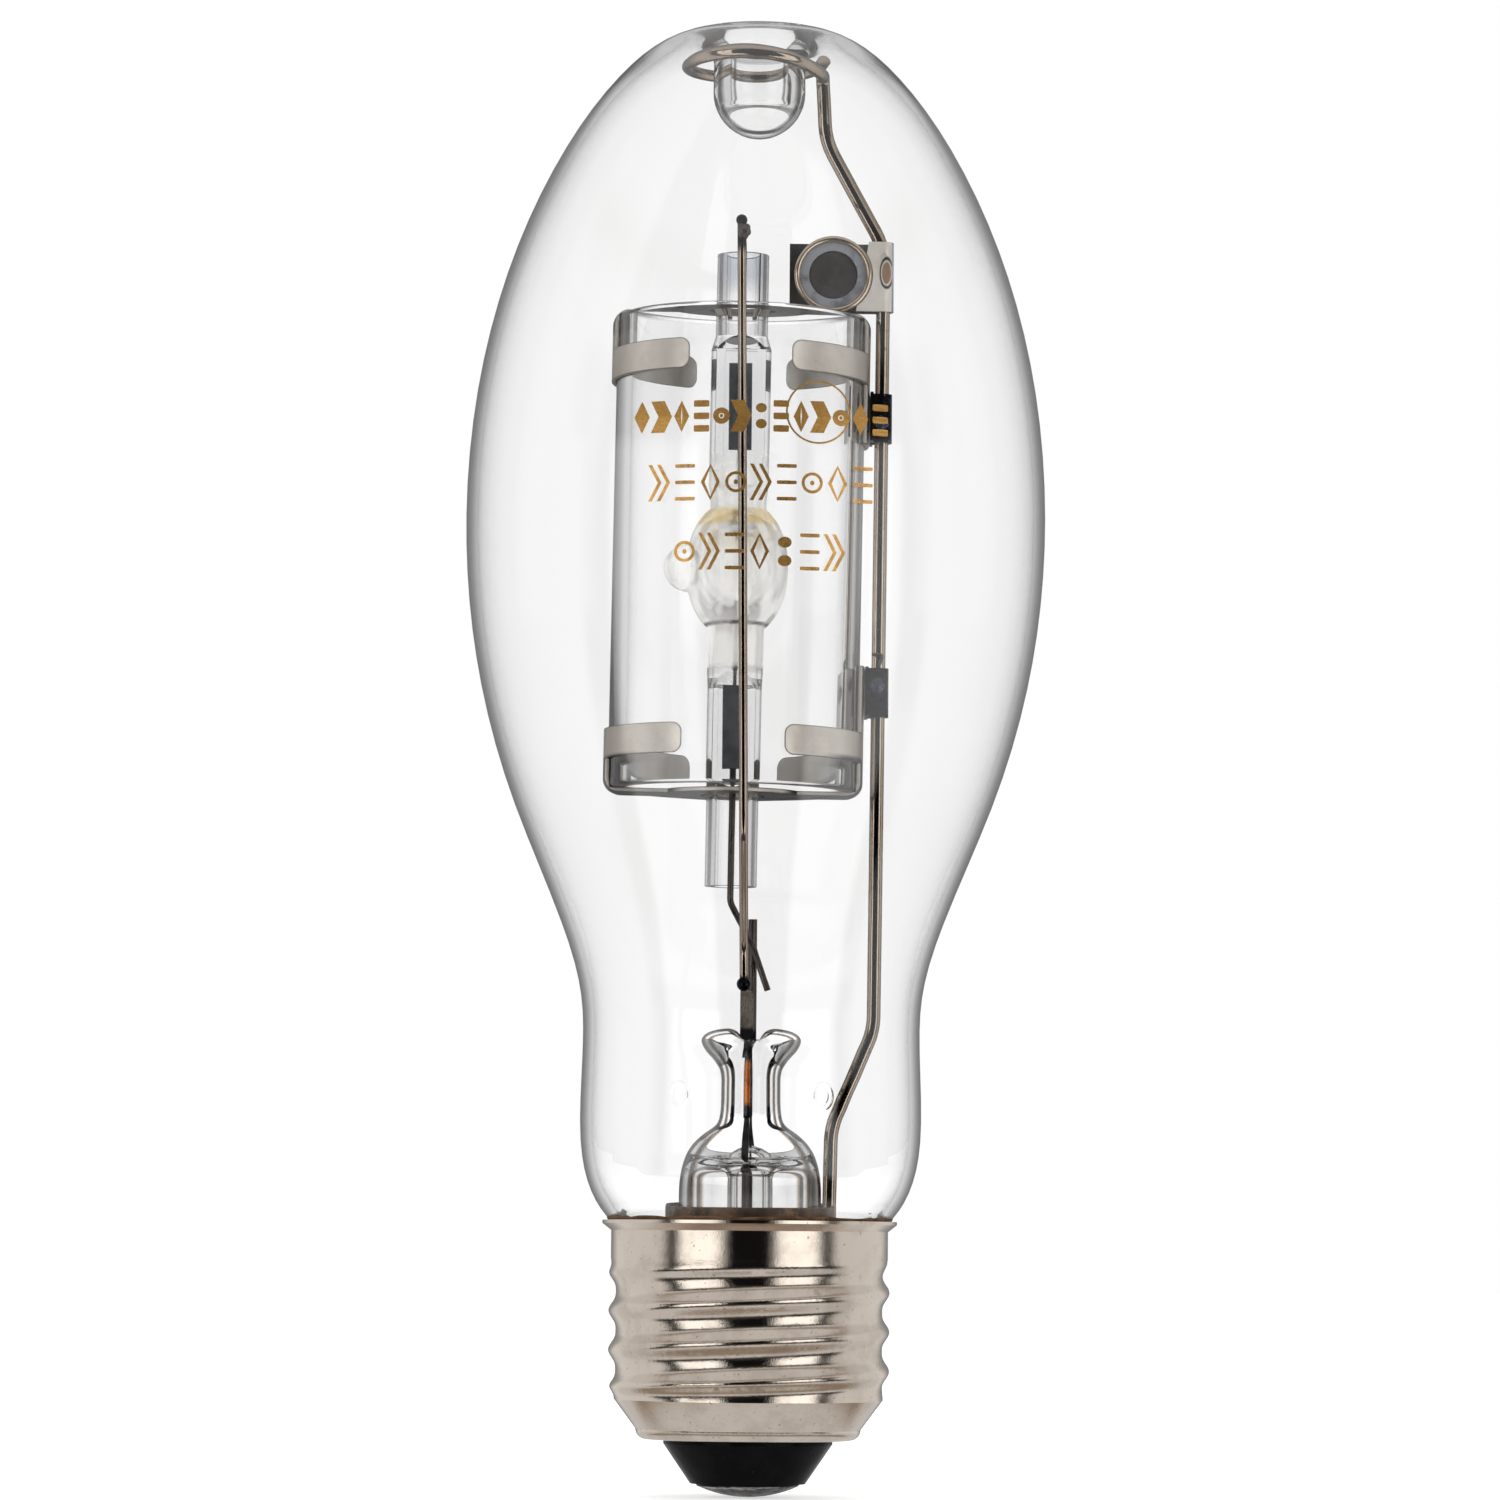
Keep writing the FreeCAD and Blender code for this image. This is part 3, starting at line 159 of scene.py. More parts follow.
def math_node(tree, operation, first, second=0.0, clamp=False):
    return add(tree, "Math", {0: first, 1: second}, operation=operation, use_clamp=clamp).outputs[0]


def vector_node(tree, operation, first, second=(0, 0, 0)):
    outputs = add(tree, "VectorMath", {0: first, 1: second}, operation=operation).outputs
    return outputs["Value"] if operation in ("LENGTH", "DOT_PRODUCT") else outputs[0]


def parts_of(tree, vector):
    """X, Y and Z of a vector."""
    return add(tree, "SeparateXYZ", {0: vector}).outputs


def ramp(tree, factor, stops):
    """Colour ramp with stops given as (place, grey or colour)."""
    item = add(tree, "ValToRGB", {"Fac": factor})
    elements = item.color_ramp.elements
    while len(elements) < len(stops):
        elements.new(0.5)
    for element, (place, colour) in zip(elements, stops):
        element.position = place
        element.color = rgba(colour)
    return item.outputs["Color"]


def rgba(colour):
    """Four values of a grey or a colour. A socket stays as it is."""
    if isinstance(colour, bpy.types.NodeSocket):
        return colour
    if isinstance(colour, (int, float)):
        return (colour, colour, colour, 1.0)
    return (*colour[:3], 1.0)


def mix_colour(tree, factor, first, second, blend="MIX"):
    inputs = {0: factor, 6: rgba(first), 7: rgba(second)}
    return add(tree, "Mix", inputs, data_type="RGBA", blend_type=blend).outputs[2]


def object_place(tree):
    """Coordinates in millimetres, in the lamp's own frame."""
    place = add(tree, "TexCoord").outputs["Object"]
    return vector_node(tree, "MULTIPLY", place, (1 / MM, 1 / MM, 1 / MM))


def height_of(tree):
    """Height up the lamp in millimetres."""
    return parts_of(tree, object_place(tree))["Z"]


def cloud_of(tree, place, scale=1.0, detail=2.0, roughness=0.5):
    """Noise from 0 to 1."""
    inputs = {"Vector": place, "Scale": scale, "Detail": detail, "Roughness": roughness}
    return add(tree, "TexNoise", inputs).outputs[0]


def slant_of(tree):
    """How far the surface turns from the eye, 0 face on and 1 edge on."""
    return add(tree, "LayerWeight", {"Blend": 0.5}).outputs["Facing"]


def bumped(tree, relief, strength, depth, normal=None):
    """Normal tilted by a relief of the given depth in millimetres."""
    inputs = {"Height": relief, "Strength": strength, "Distance": depth * MM}
    if normal is not None:
        inputs["Normal"] = normal
    return add(tree, "Bump", inputs).outputs[0]


def stretch(tree, value, low, high, soft):
    """1 from low to high, with soft ends."""
    rise = between(tree, value, low - soft, low + soft)
    fall = between(tree, value, high + soft, high - soft)
    return math_node(tree, "MULTIPLY", rise, fall)


def between(tree, value, low, high, curve="SMOOTHSTEP"):
    """0 below low, 1 above high, or the other way round where high is the lower one."""
    ends = {"Value": value, "From Min": low, "From Max": high}
    return add(tree, "MapRange", ends, interpolation_type=curve).outputs["Result"]


def new_group(name, inputs, outputs):
    """Empty node group with the named sockets, and its two end nodes."""
    tree = bpy.data.node_groups.new(name, "ShaderNodeTree")
    for label, kind, value in inputs:
        socket = tree.interface.new_socket(label, in_out="INPUT", socket_type="NodeSocket" + kind)
        socket.default_value = value
    for label, kind in outputs:
        tree.interface.new_socket(label, in_out="OUTPUT", socket_type="NodeSocket" + kind)
    start = tree.nodes.new("NodeGroupInput")
    end = tree.nodes.new("NodeGroupOutput")
    return tree, start, end


def use_group(tree, name, inputs):
    """Places a shared effect and gives its outputs."""
    return add(tree, "Group", inputs, node_tree=bpy.data.node_groups[name]).outputs


# Shared effects

PATCHES = "Patches and specks"
DRAWN = "Drawn lines"


def build_patches():
    """Soft patches of a second colour, and small dark specks, sized in millimetres."""
    tree, start, end = new_group(
        PATCHES,
        [
            ("Colour", "Color", (0.5, 0.5, 0.5, 1.0)),
            ("Patch colour", "Color", (0.2, 0.2, 0.2, 1.0)),
            ("Speck colour", "Color", (0.05, 0.04, 0.03, 1.0)),
            ("Patch size", "Float", 4.0),
            ("Patch amount", "Float", 0.5),
            ("Speck size", "Float", 0.5),
            ("Speck amount", "Float", 0.2),
        ],
        [("Colour", "Color"), ("Patches", "Float"), ("Specks", "Float")],
    )
    place = object_place(tree)
    patch_scale = math_node(tree, "DIVIDE", 1.0, start.outputs["Patch size"])
    speck_scale = math_node(tree, "DIVIDE", 1.0, start.outputs["Speck size"])
    patches = between(tree, cloud_of(tree, place, patch_scale, 4.0, 0.6), 0.42, 0.66)
    patches = math_node(tree, "MULTIPLY", patches, start.outputs["Patch amount"], clamp=True)
    specks = between(tree, cloud_of(tree, place, speck_scale, 2.0, 0.7), 0.66, 0.72)
    specks = math_node(tree, "MULTIPLY", specks, start.outputs["Speck amount"], clamp=True)
    colour = mix_colour(tree, patches, start.outputs["Colour"], start.outputs["Patch colour"])
    colour = mix_colour(tree, specks, colour, start.outputs["Speck colour"])
    feed(end, {"Colour": colour, "Patches": patches, "Specks": specks})


def build_drawn():
    """Fine lines along one axis, as drawing or rolling leaves them, sized in millimetres."""
    tree, start, end = new_group(
        DRAWN,
        [("Across", "Vector", (8.0, 8.0, 0.3)), ("Contrast", "Float", 1.0)],
        [("Lines", "Float")],
    )
    place = vector_node(tree, "MULTIPLY", object_place(tree), start.outputs["Across"])
    lines = between(tree, cloud_of(tree, place, detail=5.0, roughness=0.65), 0.3, 0.7)
    feed(end, {"Lines": math_node(tree, "MULTIPLY", lines, start.outputs["Contrast"])})


# Materials


def blank(name):
    """New material, its node tree and its Principled shader."""
    material = bpy.data.materials.new(name)
    material.use_nodes = True
    tree = material.node_tree
    return material, tree, tree.nodes["Principled BSDF"]


def glass(name, stops, ior, tint_and_shade=None, frost=None, relief=None):
    """Clear glass whose edges, seen at a slant, follow the given stops from face on to grazing, as painted
    bands of light and shade.
    """
    material, tree, shader = blank(name)
    colour = ramp(tree, slant_of(tree), stops)
    # The tint multiplies in painted shade, and on the arc tube also a real stain.
    if tint_and_shade is not None:
        colour = mix_colour(tree, 1.0, colour, tint_and_shade(tree), "MULTIPLY")
    rough = 0.0 if frost is None else frost(tree)
    feed(shader, {"Base Color": colour, "Roughness": rough, "IOR": ior, "Transmission Weight": 1.0})
    if relief is not None:
        feed(shader, {"Normal": bumped(tree, relief(tree), 1.0, 0.05)})
    open_to_lamps = add(tree, "BsdfTransparent", {"Color": (0.96, 0.96, 0.96, 1.0)})
    shadow = add(tree, "LightPath").outputs["Is Shadow Ray"]
    mixed = add(tree, "MixShader", {0: shadow, 1: shader.outputs[0], 2: open_to_lamps.outputs[0]})
    feed(tree.nodes["Material Output"], {"Surface": mixed.outputs[0]})
    return material


def metal(
    name, colour, patch, speck, roughness, sizes, amounts, lines, bump,
    edge=None, core=None, scorch_and_shade=None, metallic=1.0, soft_edge=0.0,
):
    """Metal with patches, specks and drawn lines.

    It can take an edge colour at a slant, which is painted shade, a core colour face on, which is a painted
    dark reflection, dark stretches that are scorched metal on some parts and painted shade on others, and
    sheet edges that are rounded in the light and have a painted dark line of shade.
    """
    material, tree, shader = blank(name)
    patches = patched(tree, colour, patch, speck, sizes, amounts)
    drawn = use_group(tree, DRAWN, {"Across": lines, "Contrast": 1.0})["Lines"]
    tone = patches["Colour"]
    # Painted shade where the surface turns away, and a painted dark reflection face on.
    if edge is not None:
        slant = slant_of(tree)
        tone = mix_colour(tree, between(tree, slant, *TURNED_AWAY), tone, edge)
        if core is not None:
            tone = mix_colour(tree, between(tree, slant, *FACE_ON), tone, core)
    # Scorched metal on some parts, painted shade on the plates' folds, and on the contact near-black around a
    # painted highlight.
    if scorch_and_shade is not None:
        tone = mix_colour(tree, scorch_and_shade(tree), tone, SCORCH_AND_SHADE)
    rounded = None
    if soft_edge:
        rounded = add(tree, "Bevel", {"Radius": soft_edge * MM}, samples=6).outputs[0]
        flat = add(tree, "NewGeometry").outputs["Normal"]
        turn = vector_node(tree, "DOT_PRODUCT", rounded, flat)
        # Painted dark line of shade along the rounded sheet edges.
        tone = mix_colour(tree, between(tree, turn, *SHEET_LINE), tone, (0.04, 0.035, 0.03))
    dull = math_node(tree, "MULTIPLY", patches["Patches"], 0.18)
    dull = math_node(tree, "ADD", dull, math_node(tree, "MULTIPLY", drawn, 0.05))
    dull = math_node(tree, "ADD", dull, math_node(tree, "MULTIPLY", patches["Specks"], 0.3))
    relief = math_node(tree, "SUBTRACT", drawn, patches["Specks"])
    feed(shader, {
        "Base Color": tone,
        "Metallic": metallic,
        "Roughness": math_node(tree, "ADD", dull, roughness, clamp=True),
        "Normal": bumped(tree, relief, bump, 0.02, rounded),
    })
    return material


def patched(tree, colour, patch, speck, sizes, amounts):
    """Outputs of the patches and specks, whose sizes and amounts are given as (patch, speck)."""
    return use_group(tree, PATCHES, {
        "Colour": rgba(colour),
        "Patch colour": rgba(patch),
        "Speck colour": rgba(speck),
        "Patch size": sizes[0],
        "Speck size": sizes[1],
        "Patch amount": amounts[0],
        "Speck amount": amounts[1],
    })


def grainy(name, colour, patch, speck, sizes, amounts, roughness, bump, depth):
    """Dull stuff with patches, and specks that stand out by a depth in millimetres."""
    material, tree, shader = blank(name)
    patches = patched(tree, colour, patch, speck, sizes, amounts)
    normal = bumped(tree, patches["Specks"], bump, depth)
    feed(shader, {"Base Color": patches["Colour"], "Roughness": roughness, "Normal": normal})
    return material


def dress(material, *names):
    """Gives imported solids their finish."""
    for name in names:
        slots = NODES[name].data.materials
        slots.clear()
        slots.append(material)


def keep_piece(name, mesh, material, replaced=()):
    """Links a new piece, gives it its finish and lets it ride with the lamp."""
    piece = bpy.data.objects.new(name, mesh)
    bpy.context.scene.collection.objects.link(piece)
    mesh.materials.clear()
    mesh.materials.append(material)
    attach(piece, "root")
    if replaced:
        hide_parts(*replaced)
    return piece


def room(tree, direction):
    """Walls that shiny parts reflect: a dark middle, two white screens, dark slots and grey sides."""
    parts = parts_of(tree, direction)
    level = add(tree, "CombineXYZ", {0: parts["X"], 1: parts["Y"], 2: 0.0}).outputs[0]
    away = parts_of(tree, vector_node(tree, "NORMALIZE", level))["Y"]
    away = between(tree, away, -1.0, 1.0, "LINEAR")
    walls = ramp(tree, away, WALLS)
    rise = math_node(tree, "ABSOLUTE", parts["Z"])
    near = between(tree, away, 0.46, 0.36)
    shade = math_node(tree, "MULTIPLY", between(tree, rise, 0.2, 0.26), near)
    walls = mix_colour(tree, shade, walls, 0.03)
    walls = mix_colour(tree, between(tree, rise, 0.36, 0.46), walls, 0.42)
    beside = between(tree, away, 0.72, 0.5)
    streak = math_node(tree, "MULTIPLY", stretch(tree, rise, 0.58, 0.68, 0.07), beside)
    return mix_colour(tree, streak, walls, (0.16, 0.115, 0.075))


# Shapes


def finished_mesh(name, build, smooth=True):
    """Mesh from a build, which is freed."""
    mesh = bpy.data.meshes.new(name)
    build.to_mesh(mesh)
    build.free()
    mesh.polygons.foreach_set("use_smooth", [smooth] * len(mesh.polygons))
    return mesh


def lump(name, place, radius, squash, material):
    """Small uneven drop of melted metal."""
    build = bmesh.new()
    bmesh.ops.create_icosphere(build, subdivisions=4, radius=radius)
    for corner in build.verts:
        swell = 1 + 0.3 * noise.noise(corner.co / radius * 1.4 + place / radius)
        corner.co = corner.co * swell * Vector(squash) + place
    keep_piece(name, finished_mesh(name, build), material)


def seam_outline(name):
    """Outline of a turned solid, read in order where its mesh crosses the XZ plane at +X."""
    grain = 1e-6
    mesh = NODES[name].data
    joins = {}
    for edge in mesh.edges:
        ends = [mesh.vertices[index].co for index in edge.vertices]
        if all(abs(end.y) < grain and end.x > -grain for end in ends):
            first, last = [(round(end.x / grain), round(end.z / grain)) for end in ends]
            joins.setdefault(first, set()).add(last)
            joins.setdefault(last, set()).add(first)
    chain = [min(key for key, others in joins.items() if len(others - {key}) == 1)]
    seen = set(chain)
    while True:
        following = [key for key in joins[chain[-1]] if key not in seen]
        if not following:
            break
        chain.append(following[0])
        seen.add(following[0])
    return [(x * grain, z * grain) for x, z in chain]


def turned(name, outline, steps, sharp=math.radians(40), closed=False):
    """Mesh turned about the Z axis from an outline of radius and height."""
    build = bmesh.new()
    corners = [build.verts.new((radius, 0, height)) for radius, height in outline]
    edges = [build.edges.new(pair) for pair in zip(corners, corners[1:])]
    if closed:
        edges.append(build.edges.new((corners[-1], corners[0])))
    bmesh.ops.spin(
        build, geom=corners + edges, cent=(0, 0, 0), axis=(0, 0, 1),
        angle=math.tau, steps=steps, use_merge=True,
    )
    bmesh.ops.remove_doubles(build, verts=build.verts, dist=1e-7)
    bmesh.ops.recalc_face_normals(build, faces=build.faces)
    mesh = finished_mesh(name, build)
    mesh.set_sharp_from_angle(angle=sharp)
    return mesh


def bulb_skin():
    """Function that gives the radius of the bulb's outer skin at a height."""
    outline = seam_outline("outer_bulb")
    lowest = min(range(len(outline)), key=lambda index: (outline[index][1], -outline[index][0]))
    crown = max(range(len(outline)), key=lambda index: outline[index][1])
    outer = outline[lowest:crown + 1]

    def radius_at(height):
        for (radius, low), (next_radius, high) in zip(outer, outer[1:]):
            if low <= height <= high and high > low:
                return radius + (next_radius - radius) * (height - low) / (high - low)
        raise ValueError("the outer bulb has no skin at this height")

    return radius_at


def smooth_stations(stations, step):
    """Rows of numbers, the first one rising, filled in along smooth curves."""
    rows = []
    last = len(stations) - 1
    for index in range(last):
        before = stations[max(index - 1, 0)]
        start, end = stations[index], stations[index + 1]
        after = stations[min(index + 2, last)]
        span = end[0] - start[0]
        count = max(1, round(span * MM / step))
        for part in range(count):
            share = part / count
            row = [start[0] + span * share]
            for column in range(1, len(start)):
                rise_in = (end[column] - before[column]) / (end[0] - before[0]) * span
                rise_out = (after[column] - start[column]) / (after[0] - start[0]) * span
                cube = share ** 3
                square = share ** 2
                row.append(
                    start[column] * (2 * cube - 3 * square + 1) + rise_in * (cube - 2 * square + share)
                    + end[column] * (3 * square - 2 * cube) + rise_out * (cube - square)
                )
            rows.append(tuple(row))
    rows.append(tuple(stations[-1]))
    return rows


def rounded_ring(outer, inner, low, high, round_off, arc_steps=5):
    """Closed outline of a tube whose four edges are rounded."""
    outline = []
    middles = [
        (outer - round_off, high - round_off, 90),
        (outer - round_off, low + round_off, 0),
        (inner + round_off, low + round_off, -90),
        (inner + round_off, high - round_off, -180),
    ]
    for x, z, start in middles:
        for step in range(arc_steps + 1):
            angle = math.radians(start - 90 * step / arc_steps)
            outline.append((x + round_off * math.cos(angle), z + round_off * math.sin(angle)))
    return outline


# Settings


def colour_setting(name, description, colour):
    return bpy.props.FloatVectorProperty(
        name=name, description=description, subtype="COLOR", size=3, default=colour,
    )


def length_setting(name, description, length):
    """Setting for a length that is given in millimetres."""
    return bpy.props.FloatProperty(name=name, description=description, unit="LENGTH", default=length * MM)


def number_setting(name, description, number):
    return bpy.props.FloatProperty(name=name, description=description, default=number)


def count_setting(name, description, count):
    return bpy.props.IntProperty(name=name, description=description, default=count)


def angle_setting(name, description, degrees):
    return bpy.props.FloatProperty(
        name=name, description=description, subtype="ANGLE", default=math.radians(degrees),
    )


class LampGlassSettings(bpy.types.PropertyGroup):
    """Glass of the bulb, the stem and the quartz parts."""

    bulb_ior: number_setting("Bulb IOR", "Bending of light in the bulb's glass", 1.47)
    quartz_ior: number_setting("Quartz IOR", "Bending of light in quartz", 1.46)
    # Painted shade of the bulb where it is seen edge on.
    edge: colour_setting("Edge", "Colour of the bulb where it is seen edge on", (0.2, 0.21, 0.21))
    # Painted shade of the quartz where it is seen edge on.
    quartz_edge: colour_setting(
        "Quartz edge", "Colour of quartz where it is seen edge on", (0.22, 0.22, 0.23),
    )
    shroud_wall: length_setting("Shroud wall", "Thickness of the quartz shroud", 1.5)
    shroud_rim: length_setting("Shroud rim", "Rounding of the shroud's rims", 0.35)
    stain: colour_setting("Stain", "Stain at the top of the arc tube's chamber", (0.75, 0.6, 0.33))


class LampMetalSettings(bpy.types.PropertyGroup):
    """Metals of the base, the cage and the wires."""

    nickel: colour_setting("Nickel", "Plate of the screw shell", (0.85, 0.75, 0.65))
    plate: colour_setting("End plates", "Satin sheet of the end plates", (0.82, 0.76, 0.68))
    wire: colour_setting("Frame wire", "Drawn wire of the frame", (0.56, 0.46, 0.37))
    lead: colour_setting("Leads", "Darker wire of the leads", (0.13, 0.11, 0.1))
    copper: colour_setting("Copper", "Copper coat of the seal wires", (0.75, 0.22, 0.04))
    gold: colour_setting("Gold marks", "Printed marks on the bulb", (0.72, 0.4, 0.11))


class LampPrintSettings(bpy.types.PropertyGroup):
    """Plain gold marks on the front of the bulb."""

    proud: length_setting("Proud", "Gap between the glass and the marks' face", 0.01)
    bold: length_setting("Bold stroke", "Width of a stroke in the top row", 0.62)
    fine: length_setting("Fine stroke", "Width of a stroke in the lower rows", 0.34)
    halo: length_setting("Halo stroke", "Width of the large ring's line", 0.17)
    strip_steps: count_setting("Steps", "Faces along one stroke", 10)
    ring_steps: count_setting("Ring steps", "Faces around one ring", 64)


class LampBaseSettings(bpy.types.PropertyGroup):
    """Cement that shows above the rim of the screw shell."""

    cement_sunk: length_setting("Sunk", "How far the cement lip starts below the rim", 0.4)
    cement_climb: length_setting("Climb", "How far the cement lip climbs above the rim", 0.6)
    cement_proud: length_setting("Proud", "How far the cement lip stands off the glass", 0.12)
    cement_steps: count_setting("Steps", "Faces around the cement lip", 360)
    cement_rag_size: number_setting(
        "Raggedness", "How often the cement lip's top edge changes height", 5.0,
    )


class LampStemSettings(bpy.types.PropertyGroup):
    """Pressed glass stem."""

    turns: count_setting("Turns", "Corners around the stem", 128)
    rise_step: length_setting("Rise step", "Height of one row of faces", 0.25)
    cap_rings: count_setting("Cap rings", "Rings on the stem's rounded top", 14)
    lobe_rise: length_setting("Lobe rise", "Rise of the two lobes above their rim", 1.15)
    valley: length_setting("Valley", "Depth of the valley between the lobes", 1.2)
    cleft_width: length_setting("Cleft", "Half width of the cleft where the two walls meet", 0.9)


class LampStageSettings(bpy.types.PropertyGroup):
    """Floor, lights and camera."""

    floor_size: bpy.props.FloatProperty(
        name="Floor", description="Side of the floor", unit="LENGTH", default=6.0,
    )
    camera_place: bpy.props.FloatVectorProperty(
        name="Camera", description="Place of the camera", subtype="TRANSLATION", size=3,
        default=(-0.354 * MM, -560.0 * MM, 22.805 * MM),
    )
    camera_pitch: angle_setting("Pitch", "Rise of the camera's view above level", 4.761)
    camera_roll: angle_setting("Roll", "Turn of the camera about its view", 0.5)
    lens: number_setting("Lens", "Focal length in millimetres", 144.07)


# Operators


class LAMP_OT_bulb(bpy.types.Operator):
    """Clear outer bulb"""

    bl_idname = "lamp.bulb"
    bl_label = "Outer bulb"

    def execute(self, context):
        choice = context.scene.lamp_glass
        # Painted bands of light and shade, from face on to edge on, ending in the edge colour.
        stops = [
            (0.0, 1.0), (0.5, 0.99), (0.62, 0.96), (0.7, 1.0),
            (0.76, 0.92), (0.86, 0.74), (0.93, 0.5), (1.0, choice.edge),
        ]
        mesh = turned("blown_bulb", seam_outline("outer_bulb"), 256)
        material = glass(
            "bulb_glass", stops, choice.bulb_ior, tint_and_shade=self.dimple_shade_lines, relief=self.pressed_ovals,
        )
        keep_piece("blown_bulb", mesh, material, ["outer_bulb"])
        return {"FINISHED"}

    def dimple_shade_lines(self, tree):
        """Painted dark lines of shade on the dimple's wall, where it is seen at a slant."""
        place = object_place(tree)
        aside = vector_node(tree, "LENGTH", vector_node(tree, "MULTIPLY", place, (1, 1, 0)))
        within = between(tree, aside, *DIMPLE_SIDE)
        inside = math_node(tree, "MULTIPLY", within, between(tree, parts_of(tree, place)["Z"], *DIMPLE_FOOT))
        lines = ramp(tree, slant_of(tree), [
            (0.0, 1.0), (0.4, 1.0), (0.46, 0.15), (0.54, 0.04),
            (0.6, 0.8), (0.7, 0.85), (0.78, 0.04), (1.0, 0.0),
        ])
        return mix_colour(tree, inside, (1.0, 1.0, 1.0), lines)

    def pressed_ovals(self, tree):
        """Two faint ovals in the neck, one on each side of the stem."""
        place = parts_of(tree, object_place(tree))
        oval_x, oval_height = OVAL_MIDDLE
        aside = math_node(tree, "SUBTRACT", math_node(tree, "ABSOLUTE", place["X"]), oval_x)
        up = math_node(tree, "MULTIPLY", math_node(tree, "SUBTRACT", place["Z"], oval_height), OVAL_SQUASH)
        squares = math_node(
            tree, "ADD", math_node(tree, "MULTIPLY", aside, aside), math_node(tree, "MULTIPLY", up, up),
        )
        ring = stretch(tree, math_node(tree, "SQRT", squares), 0.7, 0.82, 0.16)
        front = math_node(tree, "LESS_THAN", place["Y"], 0.0)
        return math_node(tree, "MULTIPLY", ring, front)


class LAMP_OT_marks(bpy.types.Operator):
    """Three rows of plain gold arrows, bars, diamonds, dots and rings on the bulb"""

    bl_idname = "lamp.marks"
    bl_label = "Gold marks"

    def execute(self, context):
        choice = context.scene.lamp_print
        self.skin = bulb_skin()
        self.choice = choice
        self.build = bmesh.new()
        top = (
            "block", "arrows", "diamond", "stack", "target", "arrows", "dots",
            "stack", "diamond", "arrows", "target", "block", "stack",
        )
        middle = ("arrows", "stack", "diamond", "target", "arrows", "stack", "target", "diamond", "stack")
        low = ("target", "arrows", "stack", "diamond", "dots", "stack", "arrows")
        self.row(top, *TOP_ROW, choice.bold)
        self.row(middle, *MIDDLE_ROW, choice.fine)
        self.row(low, *LOW_ROW, choice.fine)
        x, height, reach = (value * MM for value in HALO)
        self.ring(x, height, reach, reach, choice.halo, 2)
        mesh = finished_mesh("gold_marks", self.build)
        gold = metal(
            "gold_print", context.scene.lamp_metal.gold, (0.5, 0.26, 0.07), (0.3, 0.18, 0.08),
            roughness=0.22, sizes=(1.0, 0.2), amounts=(0.6, 0.7), lines=(2.0, 2.0, 2.0), bump=0.3,
            metallic=0.75,
        )
        keep_piece("gold_marks", mesh, gold)
        return {"FINISHED"}

    def row(self, kinds, across, up, stroke):
        """One row of marks, evenly spaced between two places across, from one height up to another."""
        left, right = (value * MM for value in across)
        low, high = (value * MM for value in up)
        pitch = (right - left) / len(kinds)
        middle, tall = (low + high) / 2, (high - low) / 2
        half = pitch * 0.38
        for index, kind in enumerate(kinds):
            x = left + pitch * (index + 0.5)
            if kind == "arrows":
                for shift in (-half, -half * 0.1):
                    for end in (low, high):
                        self.bar(x + shift + half / 2, end, middle, stroke, lean=half)
            elif kind == "stack":
                for height in (low + stroke / 2, middle, high - stroke / 2):
                    self.blob(x, height - stroke / 2, height + stroke / 2, half, 8)
            elif kind == "target":
                self.ring(x, middle, half * 1.1, half * 1.1, stroke * 0.8, 2)
                self.blob(x, middle - half * 0.25, middle + half * 0.25, half * 0.2, 2)
            elif kind == "dots":
                self.blob(x, low + tall * 0.2, middle - tall * 0.2, half * 0.7, 2)
                self.blob(x, middle + tall * 0.2, high - tall * 0.2, half * 0.7, 2)
            elif kind == "diamond":
                self.ring(x, middle, half, tall, stroke, 1)
            else:
                self.blob(x, low, high, half, 1)

    def bar(self, x, low, high, stroke, lean=0.0):
        """Stroke from one height to another, which leans by a length across."""
        rows = []
        for step in range(self.choice.strip_steps + 1):
            share = step / self.choice.strip_steps
            middle = x + lean * (share - 0.5)
            height = low + (high - low) * share
            rows.append(((middle - stroke / 2, height), (middle + stroke / 2, height)))
        self.strip(rows)

    def blob(self, x, low, high, half, power):
        """Diamond at power 1, disc at 2, block with rounded corners above that."""
        rows = []
        for step in range(self.choice.strip_steps + 1):
            share = 0.5 - 0.5 * math.cos(math.pi * step / self.choice.strip_steps)
            reach = half * (1 - abs(2 * share - 1) ** power) ** (1 / power) + 0.02 * MM
            height = low + (high - low) * share
            rows.append(((x - reach, height), (x + reach, height)))
        self.strip(rows)

    def ring(self, x, height, wide, tall, stroke, power):
        """Outline of a diamond at power 1, of a circle at 2."""
        rows = []
        for step in range(self.choice.ring_steps + 1):
            angle = math.tau * step / self.choice.ring_steps
            across = math.copysign(abs(math.cos(angle)) ** (2 / power), math.cos(angle))
            up = math.copysign(abs(math.sin(angle)) ** (2 / power), math.sin(angle))
            outer = (x + wide * across, height + tall * up)
            inner = (x + (wide - stroke) * across, height + (tall - stroke) * up)
            rows.append((outer, inner))
        self.strip(rows)

    def strip(self, rows):
        """Faces between rows of two places, laid on the glass."""
        corners = [[self.build.verts.new(self.on_glass(x, height)) for x, height in row] for row in rows]
        for first, second in zip(corners, corners[1:]):
            self.build.faces.new((first[0], first[1], second[1], second[0]))

    def on_glass(self, x, height):
        """Place just off the front of the bulb."""
        radius = self.skin(height) + self.choice.proud
        return (x, -math.sqrt(radius ** 2 - x ** 2), height)


